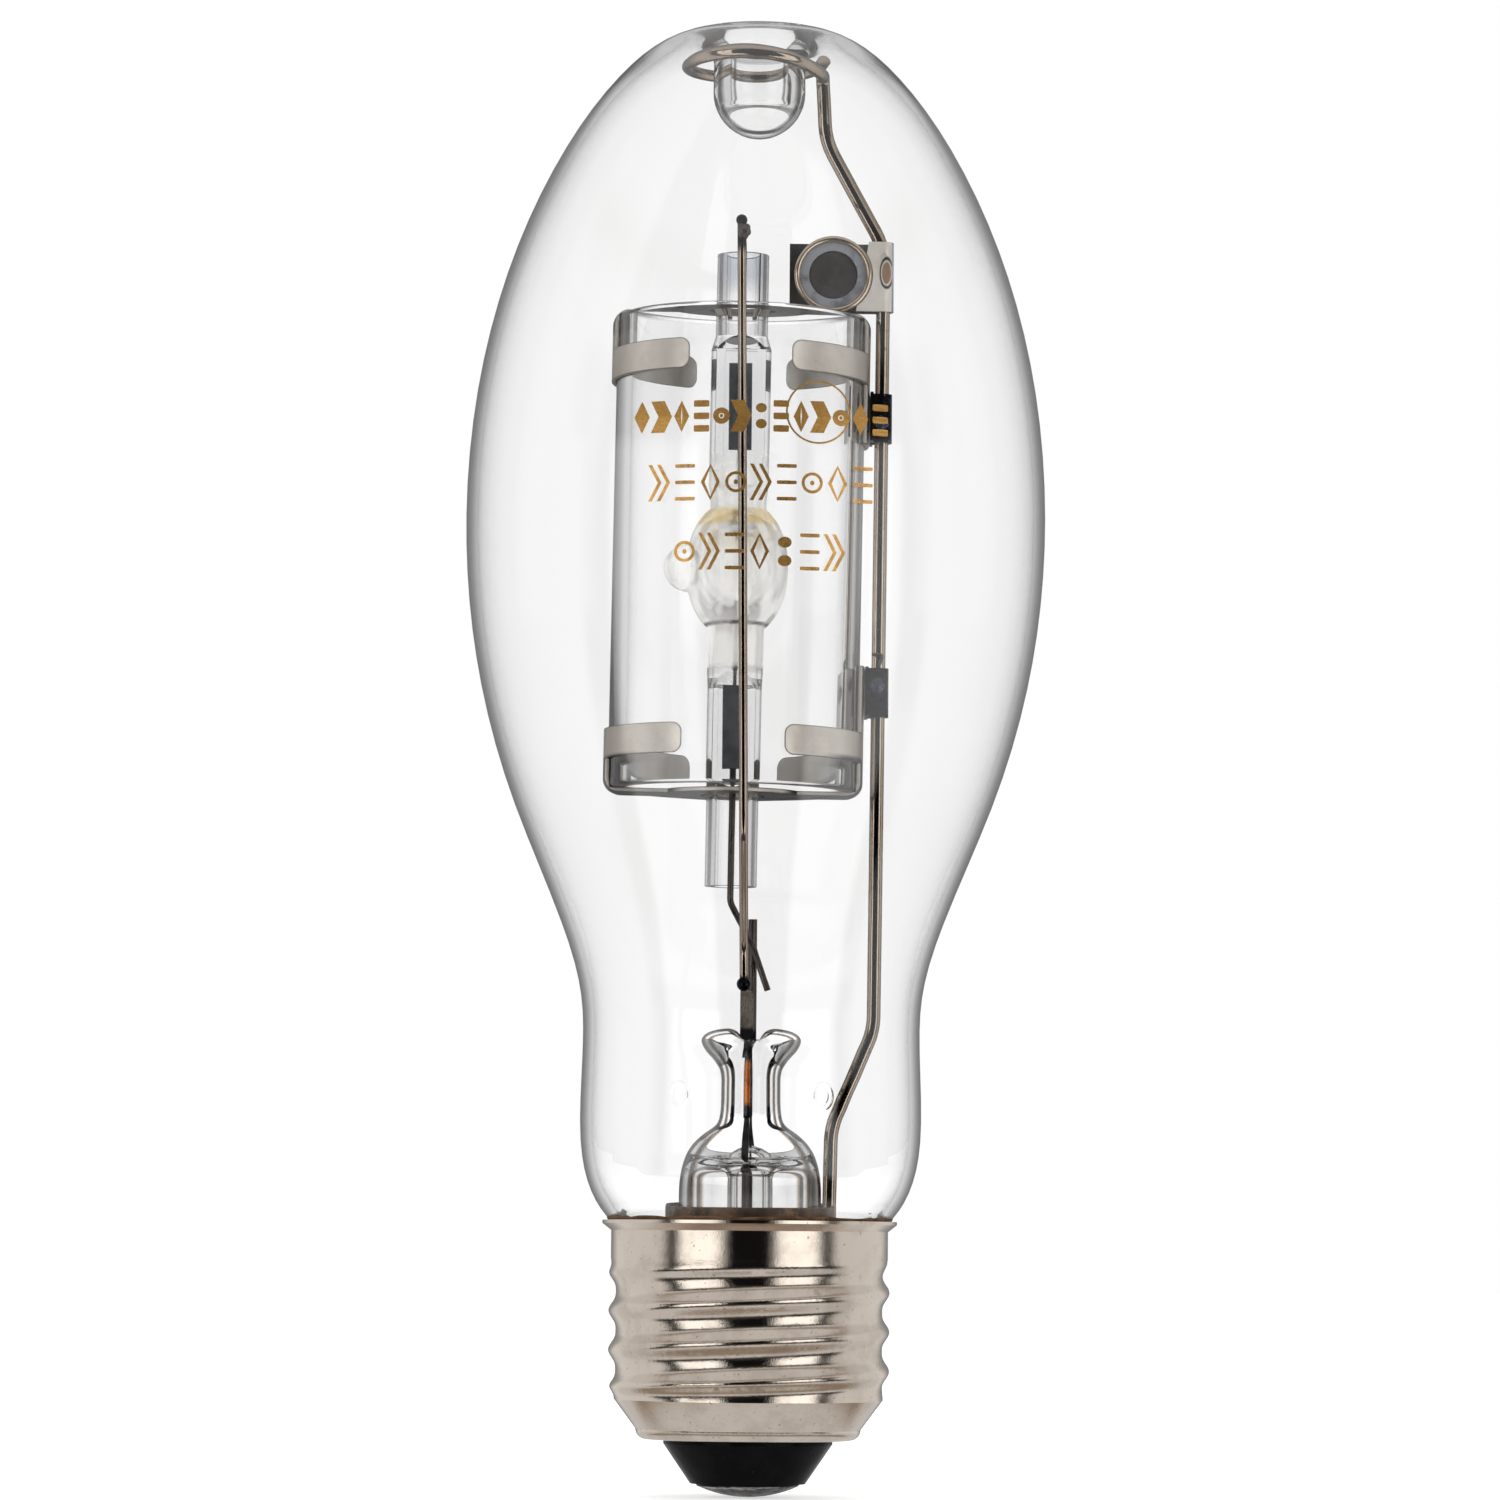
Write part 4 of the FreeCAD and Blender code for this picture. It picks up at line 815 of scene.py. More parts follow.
class LAMP_OT_stem(bpy.types.Operator):
    """Pressed glass stem with its exhaust tube, in the place of their solids"""

    bl_idname = "lamp.stem"
    bl_label = "Stem"

    def execute(self, context):
        choice = context.scene.lamp_glass
        press = context.scene.lamp_stem
        build = bmesh.new()
        skin = self.skin(build, press)
        hollow = self.hollow(build, press)
        self.join(build, skin[0], hollow[0])
        bmesh.ops.recalc_face_normals(build, faces=build.faces)
        bore = self.bore(build, press)
        bmesh.ops.reverse_faces(build, faces=bore)
        mesh = finished_mesh("pressed_stem", build)
        # Painted dark lines and light bands along the stem's edges, from face on to edge on.
        stops = [
            (0.0, 0.98), (0.35, 0.96), (0.4, (0.25, 0.18, 0.13)), (0.45, (0.03, 0.018, 0.01)), (0.52, 0.02),
            (0.58, 0.75), (0.66, 0.92), (0.71, (0.1, 0.06, 0.04)), (0.78, 0.01), (1.0, 0.0),
        ]
        material = glass("stem_glass", stops, choice.bulb_ior)
        keep_piece("pressed_stem", mesh, material, ["stem_glass", "exhaust_tube"])
        return {"FINISHED"}

    def skin(self, build, press):
        """Outside of the stem: round foot and bell, flat neck, and two lobes under a rounded top."""
        stations = smooth_stations(STEM_SKIN, press.rise_step)
        rings = []
        for height, wide, deep, power, cleft in stations:
            rings.append(self.ring(build, press, height * MM, wide * MM, deep * MM, power, cleft))
        rim_height, wide, deep = (value * MM for value in stations[-1][:3])
        power, cleft = stations[-1][3:]
        for step in range(1, press.cap_rings):
            share = math.cos(math.pi / 2 * step / press.cap_rings)
            ring = self.ring(build, press, rim_height, wide * share, deep * share, power, cleft)
            for corner in ring:
                across = abs(corner.co.x) / wide
                swell = math.sin(math.pi / 2 * min(1.0, across / 0.5))
                groove = 1 - math.exp(-((across / 0.16) ** 2))
                rise = press.lobe_rise * swell * groove - press.valley * math.exp(-((across / 0.14) ** 2))
                rolled = math.sqrt(max(0.0, 1 - share ** 4))
                corner.co.z = rim_height + rise * rolled
            rings.append(ring)
        for first, second in zip(rings, rings[1:]):
            self.join(build, first, second)
        build.faces.new(rings[-1])
        return rings

    def ring(self, build, press, height, wide, deep, power=2.0, cleft=0.0):
        """Ring of corners on a rounded rectangle or an ellipse, with a cleft down its front and back."""
        corners = []
        for step in range(press.turns):
            angle = math.tau * step / press.turns
            across, along = math.cos(angle), math.sin(angle)
            x = wide * math.copysign(abs(across) ** (2 / power), across)
            y = deep * math.copysign(abs(along) ** (2 / power), along)
            y *= 1 - cleft * math.exp(-((x / press.cleft_width) ** 2))
            corners.append(build.verts.new((x, y, height)))
        return corners

    def join(self, build, first, second):
        """Band of faces between two rings of corners."""
        count = len(first)
        for index in range(count):
            after = (index + 1) % count
            build.faces.new((first[index], first[after], second[after], second[index]))

    def hollow(self, build, press):
        """Inside of the bell, up to its arched roof, then down the exhaust tube to its closed tip."""
        foot, middle, half, top = BELL_ROOF
        roof = []
        for step in range(1, ROOF_STEPS):
            angle = math.pi * step / ROOF_STEPS
            roof.append((foot + top * math.sin(angle), middle + half * math.cos(angle)))
        rings = []
        for height, radius in BELL_WALL + roof + EXHAUST_SKIN:
            rings.append(self.ring(build, press, height * MM, radius * MM, radius * MM))
        for first, second in zip(rings, rings[1:]):
            self.join(build, first, second)
        build.faces.new(rings[-1])
        return rings

    def bore(self, build, press):
        """Closed space inside the exhaust tube."""
        known = set(build.faces)
        rings = []
        for height, radius in EXHAUST_BORE:
            rings.append(self.ring(build, press, height * MM, radius * MM, radius * MM))
        for first, second in zip(rings, rings[1:]):
            self.join(build, first, second)
        build.faces.new(rings[0][::-1])
        build.faces.new(rings[-1])
        return [face for face in build.faces if face not in known]


class LAMP_OT_cage_glass(bpy.types.Operator):
    """Shroud and arc tube"""

    bl_idname = "lamp.cage_glass"
    bl_label = "Quartz"

    def execute(self, context):
        choice = context.scene.lamp_glass
        self.shroud(choice)
        # Painted dark lines and light bands along the arc tube's edges, from face on to edge on.
        tube_stops = [
            (0.0, 0.98), (0.3, 0.95), (0.4, 0.5), (0.47, 0.88), (0.6, 0.8),
            (0.7, 0.2), (0.8, 0.5), (0.88, 0.04), (1.0, 0.0),
        ]

        # A real stain at the chamber's top, and painted grey-blue shade on the open end.
        def stain(tree):
            band = stretch(tree, height_of(tree), *STAINED_QUARTZ, 0.3)
            blotches = cloud_of(tree, object_place(tree), 0.6, 3.0)
            mask = math_node(tree, "MULTIPLY", band, between(tree, blotches, 0.25, 0.5))
            colour = mix_colour(tree, mask, (1.0, 1.0, 1.0), choice.stain)
            shaded_open_end = between(tree, height_of(tree), *SHADED_OPEN_END)
            return mix_colour(tree, shaded_open_end, colour, (0.76, 0.78, 0.82))

        material = glass("arc_quartz", tube_stops, choice.quartz_ior, tint_and_shade=stain, frost=self.frost)
        dress(material, "arc_tube")
        self.coat()
        return {"FINISHED"}

    def coat(self):
        """Milky coat on the chamber and its necks, just off the quartz."""
        build = bmesh.new()
        build.from_mesh(NODES["arc_tube"].data)
        foot = sum(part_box("lower_electrode"), Vector()) / 2
        head = sum(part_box("upper_electrode"), Vector()) / 2
        for height, way in zip(COAT_ENDS, (-1, 1)):
            parts = build.verts[:] + build.edges[:] + build.faces[:]
            bmesh.ops.bisect_plane(
                build, geom=parts, plane_co=(0, 0, height * MM), plane_no=(0, 0, way), clear_outer=True,
            )
        spare = []
        for face in build.faces:
            middle = face.calc_center_median()
            axis = foot.lerp(head, (middle.z - foot.z) / (head.z - foot.z))
            if face.normal.dot(middle - axis) <= 0:
                spare.append(face)
        bmesh.ops.delete(build, geom=spare, context="FACES")
        bmesh.ops.remove_doubles(build, verts=build.verts, dist=1e-6)
        build.normal_update()
        for corner in build.verts:
            corner.co += corner.normal * 0.03 * MM
        keep_piece("arc_coat", finished_mesh("arc_coat", build), self.milk())

    def milk(self):
        """White film, thick on the necks, streaky on the chamber and stained at its top, with a dark ring low
        on the chamber; it glows a little, which is painted light.
        """
        material, tree, shader = blank("arc_coat")
        height = height_of(tree)
        stain = stretch(tree, height, *STAINED_COAT, 0.3)
        dark_ring = stretch(tree, height, *DARK_RING_LINE, 0.12)
        colour = mix_colour(tree, stain, (0.86, 0.85, 0.82), bpy.context.scene.lamp_glass.stain)
        colour = mix_colour(tree, dark_ring, colour, (0.12, 0.12, 0.12))
        cover = ramp(tree, between(tree, height, *COAT_RAMP, "LINEAR"), [
            (0.0, 0.0), (0.04, 1.0), (0.2, 1.0), (0.24, 0.75),
            (0.62, 0.62), (0.74, 0.8), (0.9, 0.7), (1.0, 0.0),
        ])
        drawn_out = vector_node(tree, "MULTIPLY", object_place(tree), (0.8, 0.8, 0.08))
        streaky = between(tree, cloud_of(tree, drawn_out, detail=0.5), 0.3, 0.62, "LINEAR")
        streaky = math_node(tree, "MAXIMUM", streaky, 0.5)
        feed(shader, {
            "Base Color": colour,
            "Alpha": math_node(tree, "MULTIPLY", cover, streaky),
            # Painted glow: the film gives off light in its own colour.
            "Emission Color": colour,
            "Emission Strength": 0.58,
            "Roughness": 0.6,
        })
        return material

    def frost(self, tree):
        """Milky coat on both necks of the chamber."""
        height = height_of(tree)
        upper = stretch(tree, height, *UPPER_NECK, 0.35)
        lower = stretch(tree, height, *LOWER_NECK, 0.35)
        grains = cloud_of(tree, object_place(tree), 1.6, 4.0)
        coat = math_node(tree, "MAXIMUM", upper, lower)
        coat = math_node(tree, "MULTIPLY", coat, between(tree, grains, 0.2, 0.6))
        return math_node(tree, "MULTIPLY", coat, 0.55)

    def shroud(self, choice):
        """Leaning quartz tube with fire-polished rims, in the place of its solid."""
        low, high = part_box("shroud_tube")
        span = high - low
        radius = span.y / 2
        lean = math.asin((span.x - span.y) / span.z)
        length = (span.z - 2 * radius * math.sin(lean)) / math.cos(lean)
        outline = rounded_ring(
            radius, radius - choice.shroud_wall, -length / 2, length / 2, choice.shroud_rim,
        )
        axis = Matrix.Rotation(lean, 3, "Y") @ Vector((0, 0, 1))

        # Painted dark outline on the rims, where they turn away from the eye.
        def rims(tree):
            along = vector_node(tree, "DOT_PRODUCT", object_place(tree), axis)
            reach = math_node(tree, "SUBTRACT", along, axis.dot(low + high) / 2 / MM)
            reach = math_node(tree, "ABSOLUTE", reach)
            end = between(tree, reach, length / 2 / MM - 0.7, length / 2 / MM - 0.3)
            dark = math_node(tree, "MULTIPLY", end, between(tree, slant_of(tree), 0.15, 0.6))
            return mix_colour(tree, dark, (1.0, 1.0, 1.0), (0.03, 0.03, 0.035))

        # Painted shade towards the shroud's edges, ending in the quartz edge colour.
        stops = [(0.0, 0.995), (0.7, 0.985), (0.82, 0.93), (0.9, 0.65), (1.0, choice.quartz_edge)]
        material = glass("shroud_quartz", stops, choice.quartz_ior, tint_and_shade=rims)
        mesh = turned("quartz_shroud", outline, 192, closed=True)
        mesh.transform(Matrix.Translation((low + high) / 2) @ Matrix.Rotation(lean, 4, "Y"))
        keep_piece("quartz_shroud", mesh, material, ["shroud_tube"])


class LAMP_OT_plates(bpy.types.Operator):
    """Folded end plates of the cage"""

    bl_idname = "lamp.plates"
    bl_label = "End plates"

    def execute(self, context):
        colour = context.scene.lamp_metal.plate
        # The edge colour is painted shade where the sheet turns away, and the rounded sheet edges carry a
        # painted dark line.
        material = metal(
            "plate_metal", colour, (0.6, 0.54, 0.47), (0.2, 0.17, 0.14),
            roughness=0.3, sizes=(3.0, 0.3), amounts=(0.35, 0.3), lines=(0.5, 0.5, 3.0), bump=0.12,
            edge=(0.4, 0.36, 0.31), scorch_and_shade=self.folds, metallic=0.65, soft_edge=0.26,
        )
        dress(material, "upper_end_plate", "lower_end_plate")
        return {"FINISHED"}

    def folds(self, tree):
        """Painted shade on the folds beyond the arms, where they turn away."""
        height = height_of(tree)
        above = between(tree, height, *UPPER_FOLDS)
        below = between(tree, height, *LOWER_FOLDS)
        beyond = math_node(tree, "MAXIMUM", above, below)
        return math_node(tree, "MULTIPLY", beyond, between(tree, slant_of(tree), 0.2, 0.6))


class LAMP_OT_wires(bpy.types.Operator):
    """Frame wire, return lead and the finer leads"""

    bl_idname = "lamp.wires"
    bl_label = "Wires"

    def execute(self, context):
        choice = context.scene.lamp_metal
        # Edge colours are painted shade where the wires and leads turn away; core colours paint a dark
        # reflection face on.
        wire = metal(
            "frame_metal", choice.wire, (0.38, 0.3, 0.23), (0.08, 0.06, 0.05),
            roughness=0.01, sizes=(5.0, 0.35), amounts=(0.3, 0.5), lines=(3.0, 3.0, 0.2), bump=0.05,
            edge=(0.07, 0.05, 0.04),
            core=(0.008, 0.006, 0.005),
        )
        rod = metal(
            "rod_metal", choice.wire, (0.34, 0.27, 0.21), (0.08, 0.06, 0.05),
            roughness=0.01, sizes=(5.0, 0.35), amounts=(0.3, 0.5), lines=(3.0, 3.0, 0.2), bump=0.05,
            edge=(0.06, 0.045, 0.035),
            core=(0.008, 0.006, 0.005), scorch_and_shade=self.welds,
        )
        lead = metal(
            "lead_metal", choice.lead, (0.08, 0.07, 0.07), (0.02, 0.02, 0.02),
            roughness=0.25, sizes=(3.0, 0.3), amounts=(0.6, 0.5), lines=(6.0, 6.0, 0.3), bump=0.3,
            edge=(0.04, 0.035, 0.03), scorch_and_shade=self.seal_ends,
        )
        copper = metal(
            "seal_copper", choice.copper, (0.4, 0.1, 0.02), (0.08, 0.02, 0.01),
            roughness=0.2, sizes=(1.5, 0.3), amounts=(0.8, 0.4), lines=(6.0, 6.0, 0.3), bump=0.2,
            edge=(0.2, 0.04, 0.01), scorch_and_shade=self.seal_ends,
        )
        ribbon = metal(
            "ribbon_metal", (0.34, 0.29, 0.25), (0.12, 0.1, 0.09), (0.04, 0.03, 0.03),
            roughness=0.25, sizes=(1.2, 0.3), amounts=(0.8, 0.5), lines=(6.0, 6.0, 0.3), bump=0.3,
            scorch_and_shade=self.seal_ends, metallic=0.6,
        )
        dress(ribbon, "front_stem_lead")
        dress(wire, "frame_wire")
        dress(rod, "return_lead")
        dress(
            lead, "upper_arc_lead", "lower_arc_lead", "rear_stem_lead", "rear_seal_wire",
            "front_tail_wire", "rear_tail_wire", "strap_tail_wire",
        )
        dress(copper, "front_seal_wire")
        self.knobs(lead)
        return {"FINISHED"}

    def welds(self, tree):
        """Burnt ends of the return lead, where it is welded."""
        height = height_of(tree)
        foot = between(tree, height, *ROD_FOOT)
        return math_node(tree, "MAXIMUM", foot, between(tree, height, *ROD_HEAD))

    def seal_ends(self, tree):
        """Burnt stretches above and below the coppered lengths."""
        height = height_of(tree)
        above = stretch(tree, height, *BURNT_ABOVE_SEAL, 0.25)
        return math_node(tree, "MAXIMUM", above, stretch(tree, height, *BURNT_BELOW_SEAL, 0.3))

    def knobs(self, material):
        """Lumps of the welds on the return lead's top and on the front lead under its seal."""
        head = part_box("return_lead")[1]
        low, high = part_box("front_stem_lead")
        places = [
            ("top_weld", Vector((-1.3 * MM, -13.1 * MM, head.z - 1.5 * MM)), 0.62 * MM),
            ("seal_knob", Vector(((low.x + high.x) / 2, (low.y + high.y) / 2, 30.4 * MM)), 0.46 * MM),
        ]
        for name, place, radius in places:
            lump(name, place, radius, (1.0, 1.0, 1.25), material)


class LAMP_OT_straps(bpy.types.Operator):
    """Straps that tie the cage to the frame wire"""

    bl_idname = "lamp.straps"
    bl_label = "Straps"

    def execute(self, context):
        material = metal(
            "strap_metal", (0.006, 0.006, 0.008), (0.006, 0.009, 0.02), (0.45, 0.18, 0.06),
            roughness=0.15, sizes=(1.4, 0.4), amounts=(0.8, 0.7), lines=(1.2, 1.2, 1.2), bump=1.0,
        )
        dress(material, "upper_frame_strap", "lower_frame_strap")
        disc = metal(
            "weld_metal", (0.05, 0.065, 0.11), (0.02, 0.025, 0.04), (0.4, 0.2, 0.1),
            roughness=0.2, sizes=(0.8, 0.25), amounts=(0.6, 0.4), lines=(1.2, 1.2, 1.2), bump=0.5,
            metallic=0.7,
        )
        for name, drop in (("upper", 0.7), ("lower", -0.5)):
            low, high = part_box(name + "_frame_strap")
            place = Vector(((low.x + high.x) / 2, low.y, (low.z + high.z) / 2 - drop * MM))
            lump(name + "_strap_weld", place, 0.66 * MM, (0.95, 0.3, 1.05), disc)
        return {"FINISHED"}


class LAMP_OT_getter(bpy.types.Operator):
    """Getter bracket, cup and pill"""

    bl_idname = "lamp.getter"
    bl_label = "Getter"

    def execute(self, context):
        # Behind the place the bracket's plate takes a painted shaded finish, before it the flap a painted lit
        # one.
        bracket = self.lit_and_shaded(
            "bracket_metal", -0.6, ((0.02, 0.022, 0.027), 0.15, 0.6), ((0.95, 0.9, 0.82), 0.4, 0.35),
            self.dimple,
        )
        cup = self.lit_and_shaded("cup_metal", -0.85, ((0.4, 0.42, 0.46), 0.5, 0.3), ((0.8, 0.66, 0.52), 0.2, 1.0))
        dress(bracket, "getter_bracket")
        dress(cup, "getter_cup")
        pill = grainy(
            "getter_metal", (0.05, 0.05, 0.055), (0.08, 0.08, 0.085), (0.16, 0.16, 0.17),
            (0.8, 0.12), (0.5, 0.6), 0.75, 0.6, 0.03,
        )
        dress(pill, "getter_pill")
        return {"FINISHED"}

    def lit_and_shaded(self, name, place, shaded_back, front, stamp=None):
        """Speckled sheet with one finish (colour, roughness, metallic) behind a place, painted darker as
        shade, and another, painted as lit, before it.
        """
        material, tree, shader = blank(name)
        depth = parts_of(tree, object_place(tree))["Y"]
        ahead = math_node(tree, "LESS_THAN", depth, place)
        dark_back = [part * 0.3 for part in shaded_back[0]]
        dull_front = [part * 0.88 for part in front[0]]
        patches = patched(
            tree, mix_colour(tree, ahead, shaded_back[0], front[0]), mix_colour(tree, ahead, dark_back, dull_front),
            (0.12, 0.1, 0.09), (2.0, 0.18), (0.8, 0.35),
        )
        colour = patches["Colour"]
        relief = patches["Specks"]
        if stamp is not None:
            colour, relief = stamp(tree, colour, ahead)
        feed(shader, {"Base Color": colour, "Normal": bumped(tree, relief, 0.5, 0.15)})
        for index, socket in ((1, "Roughness"), (2, "Metallic")):
            value = between(tree, ahead, 0.0, 1.0, "LINEAR")
            feed(value.node, {"To Min": shaded_back[index], "To Max": front[index]})
            feed(shader, {socket: value})
        return material

    def dimple(self, tree, colour, ahead):
        """Steel-blue sheen on the plate, and an oval weld mark on the flap with its relief."""
        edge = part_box("getter_bracket")[1] / MM
        parts = parts_of(tree, object_place(tree))
        sheen = math_node(tree, "SUBTRACT", math_node(tree, "ADD", parts["X"], parts["Z"]), edge.x + edge.z)
        sheen = math_node(tree, "SUBTRACT", between(tree, sheen, -10.5, -2.5), ahead, clamp=True)
        colour = mix_colour(tree, sheen, colour, (0.42, 0.47, 0.53))
        middle_place = (edge.x - 0.7, 0, edge.z - 2.95)
        place = vector_node(tree, "SUBTRACT", object_place(tree), middle_place)
        reach = vector_node(tree, "LENGTH", vector_node(tree, "MULTIPLY", place, (1 / 0.66, 0, 1 / 1.55)))
        outline = math_node(tree, "MULTIPLY", stretch(tree, reach, 0.8, 1.0, 0.08), ahead)
        middle = math_node(tree, "MULTIPLY", between(tree, reach, 0.72, 0.62), ahead)
        colour = mix_colour(tree, middle, colour, (0.42, 0.26, 0.17))
        colour = mix_colour(tree, outline, colour, (0.015, 0.02, 0.03))
        return colour, between(tree, reach, 1.0, 0.5)


class LAMP_OT_seals(bpy.types.Operator):
    """Foils, electrodes and the stem's band"""

    bl_idname = "lamp.seals"
    bl_label = "Seals"

    def execute(self, context):
        foil = metal(
            "foil_metal", (0.17, 0.185, 0.2), (0.1, 0.11, 0.12), (0.3, 0.3, 0.3),
            roughness=0.4, sizes=(1.5, 0.3), amounts=(0.6, 0.3), lines=(2.0, 2.0, 0.5), bump=0.4,
            metallic=0.2,
        )
        rod = metal(
            "tungsten", (0.16, 0.16, 0.17), (0.08, 0.08, 0.08), (0.3, 0.3, 0.3),
            roughness=0.35, sizes=(1.0, 0.2), amounts=(0.6, 0.3), lines=(3.0, 3.0, 3.0), bump=0.4,
        )
        band = metal(
            "band_metal", (0.17, 0.1, 0.06), (0.04, 0.03, 0.02), (0.6, 0.45, 0.3),
            roughness=0.25, sizes=(2.0, 0.4), amounts=(0.8, 0.5), lines=(0.5, 0.5, 3.0), bump=0.3,
            metallic=0.7,
        )
        self.sheet("upper_foil", foil)
        self.sheet("lower_foil", foil)
        dress(rod, "upper_electrode", "lower_electrode")
        dress(band, "stem_band")
        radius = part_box("stem_band")[1].x
        foot = RIM_HEIGHT - 0.3 * MM
        outline = rounded_ring(radius + 0.06 * MM, radius - 0.3 * MM, foot, RIM_HEIGHT + 1.35 * MM, 0.06 * MM)
        keep_piece("band_hem", turned("band_hem", outline, 192, closed=True), band)
        return {"FINISHED"}

    def sheet(self, name, material):
        """Foil with a slight crinkle, a little thicker than the gap it lies in."""
        low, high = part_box(name)
        build = bmesh.new()
        bmesh.ops.create_cube(build, size=1.0)
        bmesh.ops.subdivide_edges(build, edges=build.edges, cuts=15, use_grid_fill=True)
        for corner in build.verts:
            place = Vector((corner.co.x * (high.x - low.x), 0, corner.co.z * (high.z - low.z)))
            place.y = corner.co.y * 0.12 * MM + 0.03 * MM * noise.noise(place / MM * 0.9)
            corner.co = place + (low + high) / 2
        mesh = finished_mesh(name + "_sheet", build, smooth=False)
        keep_piece(name + "_sheet", mesh, material, [name])


class LAMP_OT_base(bpy.types.Operator):
    """Screw shell, cement, insulator and centre contact"""

    bl_idname = "lamp.base"
    bl_label = "Screw base"

    def execute(self, context):
        nickel = context.scene.lamp_metal.nickel
        shell = metal(
            "shell_metal", nickel, (0.55, 0.46, 0.37), (0.12, 0.08, 0.05),
            roughness=0.04, sizes=(4.0, 0.4), amounts=(0.4, 0.5), lines=(7.0, 7.0, 7.0), bump=0.16,
        )
        contact = metal(
            "contact_metal", (0.55, 0.5, 0.44), (0.2, 0.18, 0.16), (0.4, 0.36, 0.3),
            roughness=0.3, sizes=(0.6, 0.3), amounts=(0.8, 0.4), lines=(1.0, 1.0, 1.0), bump=0.4,
            scorch_and_shade=self.dark_but_highlight_line,
        )
        dress(shell, "screw_shell")
        dress(contact, "centre_contact")
        dress(self.black_glass(), "base_insulator")
        cement = grainy(
            "cement", (0.2, 0.11, 0.06), (0.08, 0.04, 0.02), (0.4, 0.28, 0.18),
            (1.5, 0.3), (0.8, 0.6), 0.85, 0.8, 0.1,
        )
        dress(cement, "basing_cement")
        self.squeezed_cement(cement, context.scene.lamp_base)
        return {"FINISHED"}

    def dark_but_highlight_line(self, tree):
        """Near-black on all of the contact but a painted highlight along a line just under its edge."""
        cloud = cloud_of(tree, vector_node(tree, "MULTIPLY", object_place(tree), (0.5, 0.5, 4.0)), detail=5.0)
        line = stretch(tree, height_of(tree), 0.8, 1.05, 0.1)
        line = math_node(tree, "MULTIPLY", line, between(tree, cloud, 0.4, 0.6))
        return math_node(tree, "SUBTRACT", 1.0, line)

    def squeezed_cement(self, material, choice):
        """Ragged lip of cement that stands out of the rim and climbs the neck of the bulb."""
        skin = bulb_skin()
        low = RIM_HEIGHT - choice.cement_sunk
        build = bmesh.new()
        rows = []
        for step in range(choice.cement_steps):
            angle = math.tau * step / choice.cement_steps
            way = Vector((math.cos(angle), math.sin(angle), 0))
            rag = 0.5 + 0.5 * noise.noise(way * choice.cement_rag_size)
            high = RIM_HEIGHT + choice.cement_climb * rag
            proud = choice.cement_proud
            row = []
            for height, off in ((low, 0.0), (low, proud), (high - 0.2 * MM, proud), (high, 0.0)):
                row.append(build.verts.new(way * (skin(height) + off + 0.02 * MM) + Vector((0, 0, height))))
            rows.append(row)
        for first, second in zip(rows, rows[1:] + rows[:1]):
            for index in range(len(first)):
                after = (index + 1) % len(first)
                build.faces.new((first[index], second[index], second[after], first[after]))
        bmesh.ops.recalc_face_normals(build, faces=build.faces)
        keep_piece("cement_lip", finished_mesh("cement_lip", build), material)

    def black_glass(self):
        """Dark glass that is slightly wavy and dull in patches."""
        material, tree, shader = blank("black_glass")
        patches = patched(
            tree, (0.006, 0.006, 0.007), (0.012, 0.012, 0.014), (0.05, 0.05, 0.05), (3.0, 0.3), (0.5, 0.3),
        )
        rough = math_node(tree, "MULTIPLY", patches["Patches"], 0.25)
        swell = cloud_of(tree, object_place(tree), 0.5)
        feed(shader, {
            "Base Color": patches["Colour"],
            "Specular IOR Level": 0.04,
            "Roughness": math_node(tree, "ADD", rough, 0.12),
            "Normal": bumped(tree, swell, 0.3, 0.2),
        })
        return material


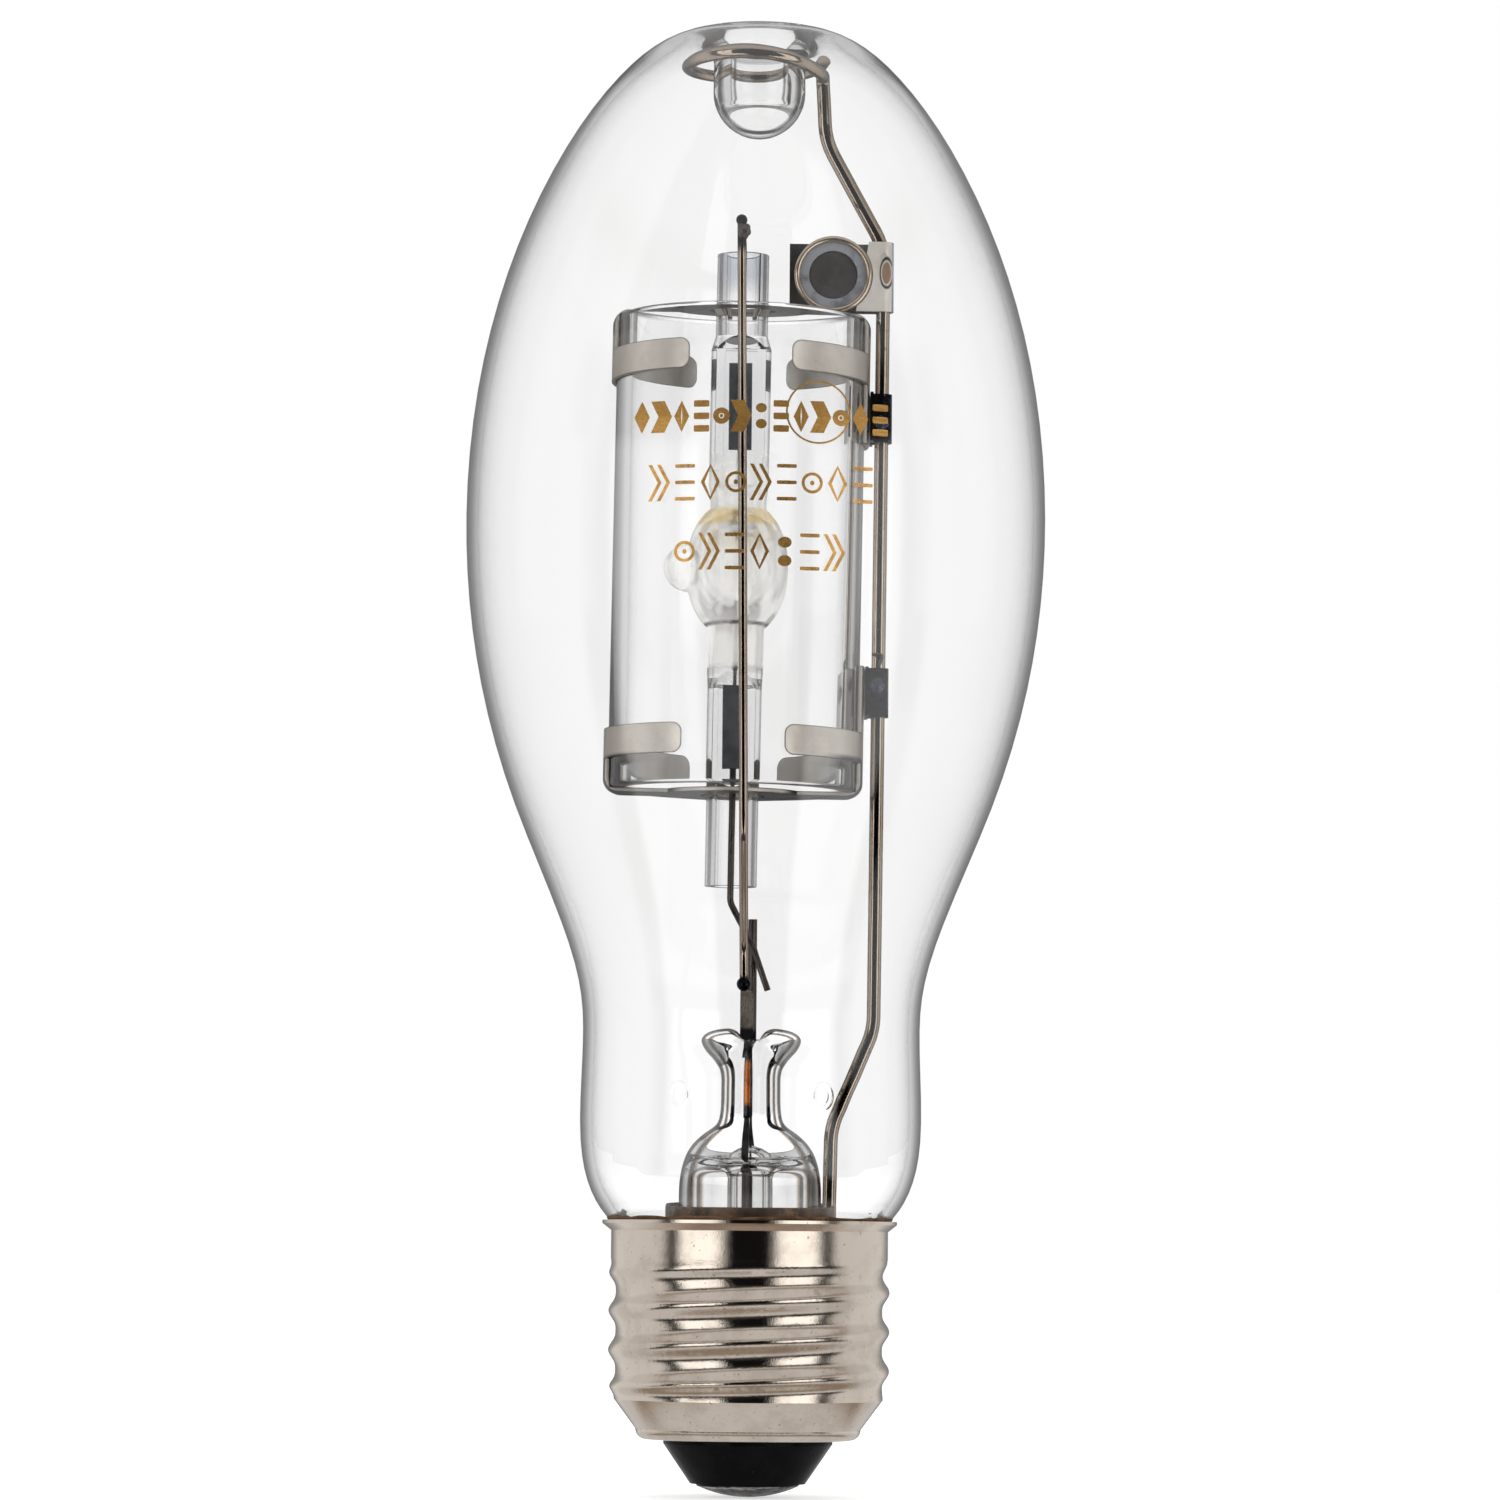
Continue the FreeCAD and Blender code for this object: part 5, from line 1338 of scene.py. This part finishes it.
class LAMP_OT_stage(bpy.types.Operator):
    """Floor, soft lights, white background and camera"""

    bl_idname = "lamp.stage"
    bl_label = "Stage"

    def execute(self, context):
        choice = context.scene.lamp_stage
        self.floor(choice.floor_size / 2)
        self.world(context.scene)
        middle = Vector((0, 0, 70 * MM))
        for name, place, width, height, power in SOFTBOXES:
            self.softbox(name, Vector(place), middle, width, height, power)
        self.camera(context.scene, choice)
        context.scene.view_settings.view_transform = "Standard"
        return {"FINISHED"}

    def floor(self, half):
        """Pale paper that mirror metals see as the lower part of the room."""
        mesh = bpy.data.meshes.new("floor")
        corners = [(-half, -half, 0), (half, -half, 0), (half, half, 0), (-half, half, 0)]
        mesh.from_pydata(corners, [], [(0, 1, 2, 3)])
        floor = bpy.data.objects.new("floor", mesh)
        bpy.context.scene.collection.objects.link(floor)
        floor.location.z = -0.05 * MM
        material, tree, shader = blank("floor_paper")
        place = add(tree, "TexCoord").outputs["Object"]
        toward = vector_node(tree, "ADD", place, (0, 0, -16 * MM))
        toward = vector_node(tree, "NORMALIZE", toward)
        shiny = math_node(tree, "GREATER_THAN", add(tree, "LightPath").outputs["Glossy Depth"], 0.5)
        light = math_node(tree, "MULTIPLY", self.seen(tree), 0.6)
        shine = math_node(tree, "MULTIPLY", shiny, 1.35)
        feed(shader, {
            "Base Color": mix_colour(tree, shiny, 0.85, 0.0),
            "Roughness": 0.9,
            "Specular IOR Level": 0.0,
            "Emission Color": mix_colour(tree, shiny, 1.0, room(tree, toward)),
            "Emission Strength": math_node(tree, "MAXIMUM", light, shine),
        })
        mesh.materials.append(material)

    def seen(self, tree):
        """1 for rays that the camera sends, also those that go on through glass."""
        path = add(tree, "LightPath").outputs
        straight = math_node(tree, "LESS_THAN", path["Glossy Depth"], 0.5)
        through = math_node(tree, "MULTIPLY", path["Is Transmission Ray"], straight)
        return math_node(tree, "MAXIMUM", path["Is Camera Ray"], through)

    def world(self, scene):
        """White to the eye, the room to shiny parts, and grey to the rest."""
        world = bpy.data.worlds.new("studio")
        world.use_nodes = True
        scene.world = world
        tree = world.node_tree
        direction = add(tree, "TexCoord").outputs["Generated"]
        path = add(tree, "LightPath").outputs
        bounced = math_node(tree, "ADD", path["Glossy Depth"], path["Diffuse Depth"])
        straight = math_node(tree, "LESS_THAN", bounced, 0.5)
        white = math_node(tree, "MULTIPLY", path["Is Transmission Ray"], straight)
        white = math_node(tree, "MAXIMUM", path["Is Camera Ray"], white)
        shiny = math_node(tree, "GREATER_THAN", path["Glossy Depth"], 0.5)
        colour = mix_colour(tree, shiny, 0.6, room(tree, direction))
        colour = mix_colour(tree, white, colour, 1.0)
        strength = math_node(tree, "ADD", math_node(tree, "MULTIPLY", shiny, 0.35), 1.0)
        strength = math_node(tree, "MAXIMUM", white, strength)
        feed(tree.nodes["Background"], {"Color": colour, "Strength": strength})

    def softbox(self, name, place, target, width, height, power):
        """Area light that shines on a place and isn't seen itself."""
        data = bpy.data.lights.new(name, "AREA")
        data.shape = "RECTANGLE"
        data.size = width
        data.size_y = height
        data.energy = power
        lamp = bpy.data.objects.new(name, data)
        bpy.context.scene.collection.objects.link(lamp)
        lamp.location = place
        lamp.visible_glossy = False
        lamp.visible_transmission = False
        lamp.visible_camera = False
        lamp.rotation_euler = (target - place).to_track_quat("-Z", "Y").to_euler()

    def camera(self, scene, choice):
        data = bpy.data.cameras.new("camera")
        data.lens = choice.lens
        data.sensor_width = 36.0
        data.clip_start = 0.05
        camera = bpy.data.objects.new("camera", data)
        scene.collection.objects.link(camera)
        turn = Matrix.Rotation(math.radians(90) + choice.camera_pitch, 4, "X")
        turn = turn @ Matrix.Rotation(choice.camera_roll, 4, "Z")
        camera.matrix_world = Matrix.Translation(choice.camera_place) @ turn
        scene.camera = camera


OPERATORS = (
    LAMP_OT_bulb,
    LAMP_OT_marks,
    LAMP_OT_stem,
    LAMP_OT_cage_glass,
    LAMP_OT_plates,
    LAMP_OT_wires,
    LAMP_OT_straps,
    LAMP_OT_getter,
    LAMP_OT_seals,
    LAMP_OT_base,
    LAMP_OT_stage,
)


class LAMP_PT_panel(bpy.types.Panel):
    """Pieces and settings of the lamp"""

    bl_idname = "LAMP_PT_panel"
    bl_label = "Metal halide lamp"
    bl_space_type = "VIEW_3D"
    bl_region_type = "UI"
    bl_category = "Lamp"

    def draw(self, context):
        layout = self.layout
        for group in SETTINGS:
            box = layout.box()
            settings = getattr(context.scene, group)
            for name in settings.__annotations__:
                box.prop(settings, name)
        for operator in OPERATORS:
            layout.operator(operator.bl_idname)


SETTINGS = {
    "lamp_glass": LampGlassSettings,
    "lamp_metal": LampMetalSettings,
    "lamp_print": LampPrintSettings,
    "lamp_base": LampBaseSettings,
    "lamp_stem": LampStemSettings,
    "lamp_stage": LampStageSettings,
}
CLASSES = (*SETTINGS.values(), *OPERATORS, LAMP_PT_panel)


def register():
    for item in CLASSES:
        bpy.utils.register_class(item)
    for name, settings in SETTINGS.items():
        setattr(bpy.types.Scene, name, bpy.props.PointerProperty(type=settings))


def unregister():
    for name in SETTINGS:
        delattr(bpy.types.Scene, name)
    for item in reversed(CLASSES):
        bpy.utils.unregister_class(item)


def main():
    register()
    build_patches()
    build_drawn()
    bpy.ops.lamp.bulb()
    bpy.ops.lamp.marks()
    bpy.ops.lamp.stem()
    bpy.ops.lamp.cage_glass()
    bpy.ops.lamp.plates()
    bpy.ops.lamp.wires()
    bpy.ops.lamp.straps()
    bpy.ops.lamp.getter()
    bpy.ops.lamp.seals()
    bpy.ops.lamp.base()
    bpy.ops.lamp.stage()


if __name__ == "__main__":
    main()
